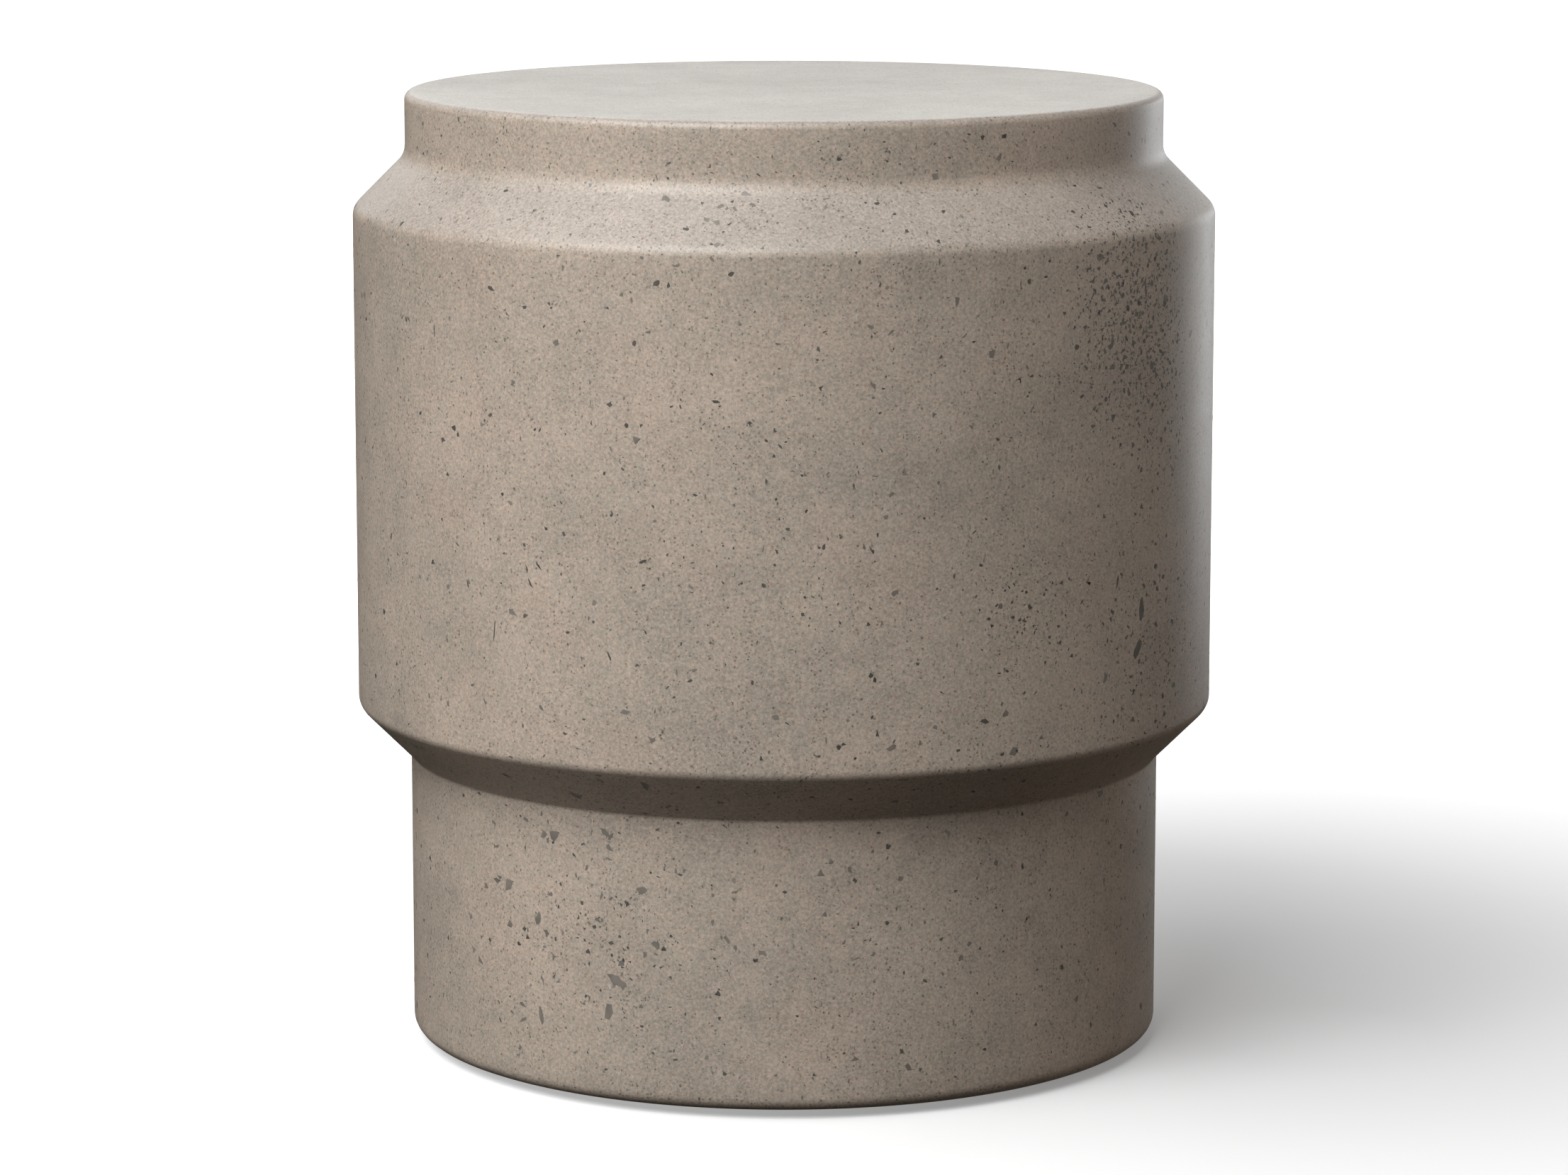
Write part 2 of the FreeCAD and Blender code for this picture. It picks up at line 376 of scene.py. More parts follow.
@dataclass(frozen=True)
class CastConcrete(Finish):
    """Sealed fair-faced concrete: clouded, finely speckled, with dark and pale grains."""

    warm: Colour = (0.412, 0.342, 0.279)
    cool: Colour = (0.372, 0.320, 0.265)
    pink: Colour = (0.438, 0.343, 0.279)
    green: Colour = (0.342, 0.321, 0.266)
    # painted sheen: a paler, more neutral colour for faces that look up, standing in for light from above
    painted_sheen: Colour = (0.362, 0.321, 0.284)
    # dust on the top face, with painted light from above that makes it paler still
    dust_and_painted_light: Colour = (0.546, 0.519, 0.482)
    dark_grain: Colour = (0.060, 0.060, 0.052)
    brown_grain: Colour = (0.120, 0.096, 0.074)
    rust_grain: Colour = (0.330, 0.170, 0.105)
    pale_grain: Colour = (0.52, 0.49, 0.45)
    cloud: float = 0.085
    blotch: float = 0.017
    grit: float = 0.0013
    roughness: float = 0.45

    def dress(self, tex: SurfaceTextures) -> dict[str, Link]:
        """Build the clouds, the sand, the speckle and the relief."""
        graph = tex.graph
        drift = tex.warped(0.16, 0.030)
        cloud = tex.noise(self.cloud, 4.0, 0.55, drift)
        blotch = tex.noise(self.blotch, 4.0, 0.65, drift)
        smear = tex.noise(0.030, 3.0, 0.5, tex.warped(0.08, 0.010, (0.35, 0.35, 1.6)))
        sand = tex.noise(0.0030, 3.0, 0.85, tex.warped(0.020, 0.004))
        grit = tex.noise(self.grit, 2.0, 0.8)
        tint = (cloud * 0.60 + blotch * 0.40).ramp(0.34, 0.66)
        base = graph.mix(tint, self.cool, self.warm)
        base = base.toward(self.pink, sand.ramp(0.50, 0.66) * 0.55)
        base = base.toward(self.green, sand.ramp(0.50, 0.36) * 0.45)
        base = base.toward(self.pink, tex.noise(0.055, 4.0, 0.6, drift).ramp(0.50, 0.72) * 0.60)
        up = tex.facing_up()
        # Faces that look up, the shoulder most, are painted paler and more neutral: a painted sheen of the
        # light from above.
        base = base.toward(self.painted_sheen, up.ramp(0.30, 0.72) * 0.75)
        # The flat top is painted paler and greyer: dust, and painted light from above on it. It shows fewer
        # grains and is rougher.
        top_dust_and_light = up.ramp(0.86, 0.995)
        base = base.toward(self.dust_and_painted_light, top_dust_and_light)
        away_from_top = 1.0 - top_dust_and_light * 0.50
        light = ((blotch - 0.5) * 0.26 + (smear - 0.5) * 0.14 + (cloud - 0.5) * 0.36
                 + (sand - 0.5) * away_from_top * 0.22 + (grit - 0.5) * away_from_top * 1.30 + 1.0)
        colour = base * light

        crowd = tex.noise(0.030, 3.0, 0.6, drift).ramp(0.38, 0.64)
        fine, fine_tone = tex.grains(0.0017, (0.00026, 0.00060), crowd * 0.62 + 0.34,
                                     tex.warped(0.0012, 0.0005), edge=0.16)
        leaning = tex.warped(0.0030, 0.0009, (1.0, 1.0, 0.50), (0.5, 0.35, 0.0))
        middle, middle_tone = tex.grains(0.0034, (0.00030, 0.00095), crowd * 0.42 + 0.16, leaning,
                                         GrainShape.ANGULAR, 0.09)
        drawn = tex.warped(0.0040, 0.0010, (1.0, 1.0, 0.24), (-0.55, 0.30, 0.0))
        twig, twig_tone = tex.grains(0.0026, (0.00016, 0.00044), crowd * 0.26 + 0.12, drawn, edge=0.08)
        rust, _ = tex.grains(0.0031, (0.0003, 0.0007), 0.40, tex.warped(0.002, 0.0007), edge=0.12)
        pale, _ = tex.grains(0.0100, (0.0003, 0.0009), 0.22,
                             tex.warped(0.002, 0.0010, (1.0, 1.0, 0.5)), edge=0.06)

        colour = colour.toward(self.rust_grain, rust * away_from_top * 0.45)
        colour = colour.toward(self.brown_grain, fine * away_from_top * (fine_tone * 0.50 + 0.36))
        colour = colour.toward(self.dark_grain, middle * away_from_top * (middle_tone * 0.55 + 0.30))
        colour = colour.toward(self.dark_grain, twig * away_from_top * (twig_tone * 0.50 + 0.30))
        colour = colour.toward(self.pale_grain, pale * away_from_top * 0.70)

        pores, _ = tex.grains(0.0060, (0.0001, 0.00045), 0.30, tex.warped(0.001, 0.0002), edge=0.08)
        height = grit * 0.35 + blotch * 0.4 - pores * 1.6
        rough = blotch * 0.10 + grit * 0.10 - middle * 0.06 + top_dust_and_light * 0.16 + (self.roughness - 0.10)
        return {"Base Color": colour, "Roughness": rough, "Specular IOR Level": 0.5,
                "Normal": tex.bump(height, 0.00012, 0.6)}


@dataclass(frozen=True)
class SprayedConcrete(Finish):
    """The unseen inner face: rolled by hand, matt, with glass fibres lying in it."""

    paste: Colour = (0.42, 0.385, 0.335)
    damp: Colour = (0.27, 0.245, 0.21)
    fibre: Colour = (0.62, 0.60, 0.55)

    def dress(self, tex: SurfaceTextures) -> dict[str, Link]:
        """Build the rolled paste, the fibres and the pits."""
        patch = tex.noise(0.06, 4.0, 0.6)
        lumps = tex.noise(0.006, 3.0, 0.6)
        colour = tex.graph.mix(patch.ramp(0.35, 0.65), self.damp, self.paste)
        strands = None
        for turn in ((0.0, 0.3, 0.2), (1.1, 0.2, 1.3), (0.4, 1.3, 2.2)):
            drawn = tex.warped(0.012, 0.0022, (1.0, 1.0, 0.055), turn)
            layer, _ = tex.grains(0.0026, (0.00015, 0.00042), 0.22, drawn, edge=0.06)
            strands = layer if strands is None else strands.math("MAXIMUM", layer)
        pits, _ = tex.grains(0.007, (0.0004, 0.0016), 0.25, tex.warped(0.003, 0.0008), edge=0.1)
        colour = colour * (lumps * 0.5 + 0.75)
        colour = colour.toward(self.fibre, strands * 0.55)
        height = lumps * 0.6 + strands * 0.35 - pits * 0.7
        return {"Base Color": colour, "Roughness": lumps * 0.12 + 0.80,
                "Normal": tex.bump(height, 0.0008, 0.8)}


@dataclass(frozen=True)
class StoneChip(Finish):
    """The larger chips of aggregate that the sealed face shows."""

    dark: Colour = (0.054, 0.052, 0.045)
    light: Colour = (0.126, 0.115, 0.096)
    roughness: float = 0.36

    def dress(self, tex: SurfaceTextures) -> dict[str, Link]:
        """Vary the tone from chip to chip and along each chip."""
        patch = tex.noise(0.007, 1.0)
        vein = tex.noise(0.0012, 3.0, 0.7)
        tone = (patch.ramp(0.30, 0.70) * 0.75 + vein * 0.25).clamped()
        colour = tex.graph.mix(tone, self.dark, self.light)
        return {"Base Color": colour, "Roughness": vein * 0.12 + self.roughness - 0.06,
                "Normal": tex.bump(vein, 0.00005, 0.5)}


@dataclass(frozen=True)
class TurnedSteel(Finish):
    """Bright stainless steel with fine turning marks round its axis."""

    colour: Colour = (0.58, 0.575, 0.565)
    stained: Colour = (0.40, 0.38, 0.35)
    turning: float = 0.00072

    def dress(self, tex: SurfaceTextures) -> dict[str, Link]:
        """Build the turning marks and the handling stains."""
        marks = tex.noise(self.turning, 3.0, 0.7, tex.warped(0.01, 0.0001, (0.06, 0.06, 1.0)))
        stain = tex.noise(0.004, 3.0, 0.6)
        colour = tex.graph.mix(stain.ramp(0.45, 0.75) * 0.5, self.colour, self.stained)
        return {"Base Color": colour, "Metallic": 1.0, "Roughness": stain * 0.20 + marks * 0.12 + 0.16,
                "Normal": tex.bump(marks, 0.00003, 0.6)}


@dataclass(frozen=True)
class ZincPlate(Finish):
    """Yellow-passivated zinc, slightly iridescent and dulled by cement."""

    gold: Colour = (0.60, 0.50, 0.28)
    silver: Colour = (0.55, 0.55, 0.50)
    cement: Colour = (0.36, 0.33, 0.29)

    def dress(self, tex: SurfaceTextures) -> dict[str, Link]:
        """Build the colour drift and the cement stains."""
        drift = tex.noise(0.008, 3.0, 0.6)
        stain = tex.noise(0.0035, 4.0, 0.65).ramp(0.56, 0.66)
        colour = tex.graph.mix(drift.ramp(0.35, 0.65), self.gold, self.silver)
        return {"Base Color": colour.toward(self.cement, stain), "Metallic": 1.0 - stain * 0.9,
                "Roughness": drift * 0.2 + stain * 0.35 + 0.25, "Normal": tex.bump(stain, 0.00008, 0.7)}


@dataclass(frozen=True)
class MouldedPolymer(Finish):
    """Moulded nylon or rubber: spark-eroded grain, dust and scuffs."""

    colour: Colour = (0.030, 0.030, 0.032)
    dust: Colour = (0.20, 0.185, 0.165)
    dusting: float = 0.25
    roughness: float = 0.42
    grain: float = 0.0004

    def dress(self, tex: SurfaceTextures) -> dict[str, Link]:
        """Build the moulded grain and the dust."""
        texture = tex.noise(self.grain, 2.0, 0.6)
        patch = tex.noise(0.009, 4.0, 0.65).ramp(0.42, 0.70)
        colour = tex.graph.mix(patch * self.dusting, self.colour, self.dust)
        return {"Base Color": colour * (texture * 0.3 + 0.85),
                "Roughness": patch * 0.22 + texture * 0.10 + self.roughness - 0.05,
                "Normal": tex.bump(texture, 0.00006, 0.7)}


@dataclass(frozen=True)
class StudioPaper(Finish):
    """The plain pale floor under the stool. It glows with distance, so that it ends in white."""

    colour: Colour = (0.60, 0.60, 0.60)
    shade_middle: tuple[float, float, float] = (0.26, -0.02, 0.0)
    glow_from: float = 0.06
    glow_full: float = 1.30
    least_glow: float = 0.16

    def dress(self, tex: SurfaceTextures) -> dict[str, Link]:
        """A matt surface that glows more and more away from where the shadow lies."""
        offset = tex.place - self.shade_middle
        far = Value(tex.graph, tex.graph.node("ShaderNodeVectorMath", {"operation": "LENGTH"},
                                              {0: offset}).outputs["Value"])
        glow = far.ramp(self.glow_from, self.glow_full) + self.least_glow
        return {"Base Color": self.colour, "Roughness": 0.85, "Specular IOR Level": 0.2,
                "Emission Color": tex.graph.spread(glow), "Emission Strength": 1.0}


CONCRETE = CastConcrete("cast_concrete")
BACK_FACE = SprayedConcrete("sprayed_back_face")
SLATE_CHIP = StoneChip("slate_chip")
GREY_CHIP = StoneChip("grey_chip", dark=(0.135, 0.122, 0.104), light=(0.235, 0.210, 0.178), roughness=0.42)
STEEL = TurnedSteel("turned_steel")
ZINC = ZincPlate("zinc_plate")
NYLON = MouldedPolymer("moulded_nylon")
RUBBER = MouldedPolymer("moulded_rubber", colour=(0.022, 0.021, 0.021), dusting=0.40, roughness=0.66,
                        grain=0.0007)
PAPER = StudioPaper("studio_paper")


# ---------------------------------------------------------------------------------------------
# Mesh tools
# ---------------------------------------------------------------------------------------------


@dataclass(frozen=True)
class Corner:
    """One corner of a turned outline."""

    radius: float
    height: float
    rounding: float = 0.0


def rounded(corners: Sequence[Corner], closed: bool, step: float = 0.006,
            arc_steps: int = 6) -> list[Vector]:
    """Draw an outline with tangent arcs at its corners.

    Args:
        corners: the corners in order.
        closed: whether the last corner joins the first.
        step: the longest straight piece.
        arc_steps: how many pieces each arc has.

    Returns:
        The outline's points, as (radius, height).
    """
    bends: list[list[Vector]] = []
    count = len(corners)
    for i, corner in enumerate(corners):
        here = Vector((corner.radius, corner.height))
        if corner.rounding == 0.0 or (not closed and i in (0, count - 1)):
            bends.append([here])
            continue
        before, after = corners[i - 1], corners[(i + 1) % count]
        back = (Vector((before.radius, before.height)) - here).normalized()
        ahead = (Vector((after.radius, after.height)) - here).normalized()
        half = back.angle(ahead) / 2.0
        centre = here + (back + ahead).normalized() * (corner.rounding / math.sin(half))
        start = here + back * (corner.rounding / math.tan(half))
        sweep = (start - centre).angle_signed(here + ahead * (corner.rounding / math.tan(half)) - centre)
        bends.append([centre + turned(start - centre, -sweep * k / arc_steps) for k in range(arc_steps + 1)])
    points: list[Vector] = []
    for i, bend in enumerate(bends):
        points.extend(bend)
        if not closed and i == count - 1:
            break
        run = bends[(i + 1) % count][0] - bend[-1]
        pieces = max(1, math.ceil(run.length / step))
        points.extend(bend[-1] + run * (k / pieces) for k in range(1, pieces))
    return points


def turned(point: Vector, angle: float) -> Vector:
    """A flat point, turned about zero by an angle in radians."""
    cos, sin = math.cos(angle), math.sin(angle)
    return Vector((point.x * cos - point.y * sin, point.x * sin + point.y * cos))


def lathe(outline: Sequence[Vector], closed: bool, segments: int, centre: Vector = Vector((0, 0, 0)),
          radius_at: Optional[Callable[[Vector, float], float]] = None) -> bmesh.types.BMesh:
    """Turn an outline about an upright axis.

    Args:
        outline: points as (radius, height); a radius of zero makes a pole.
        closed: whether the last ring joins the first.
        segments: the number of steps round.
        centre: where the axis stands.
        radius_at: changes a point's radius by the point and its angle, for threads and ribs.

    Returns:
        The mesh, with its faces pointing outwards when the outline runs down the outside.
    """
    mesh = bmesh.new()
    rings: list[list[bmesh.types.BMVert]] = []
    for point in outline:
        if point.x < 1e-7:
            rings.append([mesh.verts.new((centre.x, centre.y, centre.z + point.y))])
            continue
        ring = []
        for k in range(segments):
            angle = 2.0 * math.pi * k / segments
            radius = radius_at(point, angle) if radius_at else point.x
            ring.append(mesh.verts.new((centre.x + radius * math.cos(angle),
                                        centre.y + radius * math.sin(angle), centre.z + point.y)))
        rings.append(ring)
    pairs = list(zip(rings, rings[1:]))
    if closed and not (len(rings[0]) == 1 and len(rings[-1]) == 1):
        pairs.append((rings[-1], rings[0]))
    for upper, lower in pairs:
        for k in range(segments):
            following = (k + 1) % segments
            if len(upper) == 1 and len(lower) == 1:
                continue
            if len(upper) == 1:
                mesh.faces.new((upper[0], lower[k], lower[following]))
            elif len(lower) == 1:
                mesh.faces.new((upper[k], lower[0], upper[following]))
            else:
                mesh.faces.new((upper[k], lower[k], lower[following], upper[following]))
    mesh.normal_update()
    return mesh


def joined(name: str, parts: Iterable[bmesh.types.BMesh]) -> bpy.types.Object:
    """Make one object of several meshes, which are freed.

    Args:
        name: the object's name.
        parts: the meshes.

    Returns:
        The object, linked to the scene.
    """
    whole = bpy.data.meshes.new(name)
    gathered = bmesh.new()
    for part in parts:
        scrap = bpy.data.meshes.new("scrap")
        part.to_mesh(scrap)
        part.free()
        gathered.from_mesh(scrap)
        bpy.data.meshes.remove(scrap)
    gathered.to_mesh(whole)
    gathered.free()
    made = bpy.data.objects.new(name, whole)
    bpy.context.scene.collection.objects.link(made)
    return made


def finished(obj: bpy.types.Object, *finishes: Finish, crease: float = 35.0) -> bpy.types.Object:
    """Give an object its materials and smooth shading with creases.

    Args:
        obj: the object.
        finishes: one for each material slot.
        crease: the angle in degrees past which an edge stays sharp.

    Returns:
        The same object.
    """
    obj.data.materials.clear()
    for finish in finishes:
        obj.data.materials.append(finish.material())
    obj.data.shade_smooth()
    obj.data.set_sharp_from_angle(angle=math.radians(crease))
    return obj


def plain_mesh(obj: bpy.types.Object) -> bpy.types.Mesh:
    """A new mesh, as the object's modifiers make it."""
    depsgraph = bpy.context.evaluated_depsgraph_get()
    return bpy.data.meshes.new_from_object(obj.evaluated_get(depsgraph), depsgraph=depsgraph)


def settle(obj: bpy.types.Object) -> None:
    """Turn an object's modifiers into a plain mesh and drop them."""
    result = plain_mesh(obj)
    result.name = obj.name
    obj.modifiers.clear()
    old, obj.data = obj.data, result
    bpy.data.meshes.remove(old)


def discard(obj: bpy.types.Object) -> None:
    """Remove a helper object and its mesh."""
    mesh = obj.data
    bpy.data.objects.remove(obj)
    bpy.data.meshes.remove(mesh)


def declared(name: str, inputs: dict[str, str]) -> bpy.types.NodeTree:
    """A new Geometry Nodes tree with its named inputs, a geometry input first and one geometry output.

    Args:
        name: the tree's name.
        inputs: the kind of each socket by its name.

    Returns:
        The tree.
    """
    tree = bpy.data.node_groups.new(name, "GeometryNodeTree")
    tree.interface.new_socket("Geometry", in_out="INPUT", socket_type="NodeSocketGeometry")
    for socket, kind in inputs.items():
        tree.interface.new_socket(socket, in_out="INPUT", socket_type=f"NodeSocket{kind}")
    tree.interface.new_socket("Geometry", in_out="OUTPUT", socket_type="NodeSocketGeometry")
    return tree


def grown(tree: bpy.types.NodeTree, base: bpy.types.Mesh, values: dict[str, Any]) -> bmesh.types.BMesh:
    """What a tree makes of a mesh, as a plain mesh.

    Args:
        tree: the tree.
        base: the mesh that it starts from.
        values: its inputs by name.

    Returns:
        The mesh.
    """
    made = bpy.data.objects.new(tree.name, base)
    bpy.context.scene.collection.objects.link(made)
    modifier = made.modifiers.new(tree.name, "NODES")
    modifier.node_group = tree
    for socket in tree.interface.items_tree:
        if socket.in_out == "INPUT" and socket.name in values:
            modifier[socket.identifier] = values[socket.name]
    plain = plain_mesh(made)
    result = bmesh.new()
    result.from_mesh(plain)
    bpy.data.objects.remove(made)
    bpy.data.meshes.remove(plain)
    return result


def dress_node(node: str, finish: Finish) -> None:
    """Give a CAD node a finish.

    Args:
        node: its name.
        finish: what it gets.
    """
    obj = bpy.data.objects[node]
    if not obj.material_slots:
        obj.data.materials.append(None)
    for slot in obj.material_slots:
        slot.material = finish.material()


# ---------------------------------------------------------------------------------------------
# Chips of aggregate
# ---------------------------------------------------------------------------------------------


class Stone(Enum):
    """Which stone a chip is."""

    SLATE = "slate"
    GREY = "grey"


@dataclass(frozen=True)
class Patch:
    """Chips scattered about one place on the casting, thinning out from its middle."""

    stone: Stone
    azimuth: float          # degrees round from the front, to the right
    height: float
    reach: float
    per_square_metre: float
    shortest: float
    longest: float
    seed: int
    slimmest: float = 0.30
    lean: float = 0.0       # stretches the patch upright by this much


@dataclass(frozen=True)
class Shard:
    """One large chip, whose place is given."""

    stone: Stone
    azimuth: float
    height: float
    length: float
    width: float
    tilt: float             # degrees of its length from upright
    seed: int


class ChipScatter:
    """The Geometry Nodes tree that lays small chips into a surface."""

    CORNERS = 6
    PROUD = 0.00005
    THICKNESS = 0.0004
    BREAKS = 900.0          # how many breaks there are in a metre
    JAGGED = 1.7            # how far they push a corner, in widths of the chip
    INPUTS = {"Density": "Float", "Seed": "Int", "Middle": "Vector", "Reach": "Float", "Lean": "Float",
              "Shortest": "Float", "Longest": "Float", "Slimmest": "Float", "Material": "Material"}

    def __init__(self) -> None:
        """Build the tree once."""
        self.tree = declared("chip_scatter", self.INPUTS)
        self._fill(Graph(self.tree))

    def _fill(self, graph: Graph) -> None:
        """Add the nodes: scatter, place, shape, sink and dress."""
        given = graph.node("NodeGroupInput").outputs
        seed = given["Seed"]
        falloff = self._falloff(graph, given)
        density = falloff * Value(graph, given["Density"])
        points = graph.node("GeometryNodeDistributePointsOnFaces", {"distribute_method": "RANDOM"},
                            {"Mesh": given["Geometry"], "Density": density, "Seed": seed})
        spin = self._random(graph, seed, 1) * (2.0 * math.pi)
        draw = self._random(graph, seed, 2)
        shortest, longest = Value(graph, given["Shortest"]), Value(graph, given["Longest"])
        length = shortest + (longest - shortest) * (draw ** 3.0)
        slim = Value(graph, given["Slimmest"])
        width = length * (slim + (1.0 - slim) * self._random(graph, seed, 3))
        size = graph.shade("ShaderNodeCombineXYZ", 0, None, {0: length, 1: width, 2: 1.0})
        about_normal = graph.shade("FunctionNodeAxisAngleToRotation", 0, None,
                                   {"Axis": (0.0, 0.0, 1.0), "Angle": spin})
        facing = graph.shade("FunctionNodeRotateRotation", 0, {"rotation_space": "LOCAL"},
                             {"Rotation": points.outputs["Rotation"], "Rotate By": about_normal})
        kept = graph.node("GeometryNodeCaptureAttribute", {"domain": "POINT"},
                          {"Geometry": points.outputs["Points"]})
        kept.capture_items.new("VECTOR", "Facing")
        kept.capture_items.new("FLOAT", "Width")
        graph.feed(kept.inputs["Facing"], points.outputs["Normal"])
        graph.feed(kept.inputs["Width"], width)
        blank = graph.node("GeometryNodeMeshCylinder", {"fill_type": "NGON"},
                           {"Vertices": self.CORNERS, "Radius": 0.5, "Depth": self.THICKNESS})
        laid = graph.node("GeometryNodeInstanceOnPoints", None,
                          {"Points": kept.outputs["Geometry"], "Instance": blank.outputs["Mesh"],
                           "Rotation": facing, "Scale": size})
        real = graph.node("GeometryNodeRealizeInstances", None, {0: laid.outputs[0]})
        offset = self._shape(graph, kept.outputs["Facing"], kept.outputs["Width"])
        moved = graph.node("GeometryNodeSetPosition", None, {"Geometry": real.outputs[0], "Offset": offset})
        dressed = graph.node("GeometryNodeSetMaterial", None,
                             {"Geometry": moved.outputs[0], "Material": given["Material"]})
        graph.node("NodeGroupOutput", None, {0: dressed.outputs[0]})

    def _falloff(self, graph: Graph, given: Any) -> Value:
        """How dense the chips are at a place: 1 in the middle of the patch, 0 past its reach."""
        across, along, up = graph.parts(graph.shade("GeometryNodeInputPosition") - given["Middle"])
        up = up / (Value(graph, given["Lean"]) + 1.0)
        distance = (across * across + along * along + up * up) ** 0.5
        return (1.0 - distance / Value(graph, given["Reach"])).clamped() ** 0.8

    @staticmethod
    def _random(graph: Graph, seed: bpy.types.NodeSocket, salt: int) -> Value:
        """A random number from 0 to 1 for each chip."""
        mixed = Value(graph, seed).math("MULTIPLY_ADD", 7.0, float(salt))
        return graph.value("FunctionNodeRandomValue", "Value_001", {"data_type": "FLOAT"},
                           {"Min_001": 0.0, "Max_001": 1.0, "Seed": mixed})

    def _shape(self, graph: Graph, facing: bpy.types.NodeSocket, width: bpy.types.NodeSocket) -> Shade:
        """The offset that makes a blank angular, within the surface, and sinks it."""
        place = graph.shade("GeometryNodeInputPosition")
        wild = graph.shade("ShaderNodeTexNoise", "Color", None,
                           {"Vector": place, "Scale": self.BREAKS, "Detail": 0.0})
        push = (wild - (0.5, 0.5, 0.5)) * (Value(graph, width) * self.JAGGED)
        out = graph.value("ShaderNodeVectorMath", "Value", {"operation": "DOT_PRODUCT"}, {0: push, 1: facing})
        normal = Shade(graph, facing)
        return push - normal * out - normal * (self.THICKNESS / 2.0 - self.PROUD)

    def scatter(self, ground: bpy.types.Object, patch: Patch, middle: Vector,
                finish: Finish) -> bmesh.types.BMesh:
        """Lay one patch of chips.

        Args:
            ground: the surface that they lie in.
            patch: how many, how large and where.
            middle: the patch's middle.
            finish: the chips' finish.

        Returns:
            The chips' mesh.
        """
        return grown(self.tree, ground.data, {
            "Density": patch.per_square_metre, "Seed": patch.seed, "Middle": middle, "Reach": patch.reach,
            "Lean": patch.lean, "Shortest": patch.shortest, "Longest": patch.longest,
            "Slimmest": patch.slimmest, "Material": finish.material()})


# ---------------------------------------------------------------------------------------------
# The casting
# ---------------------------------------------------------------------------------------------


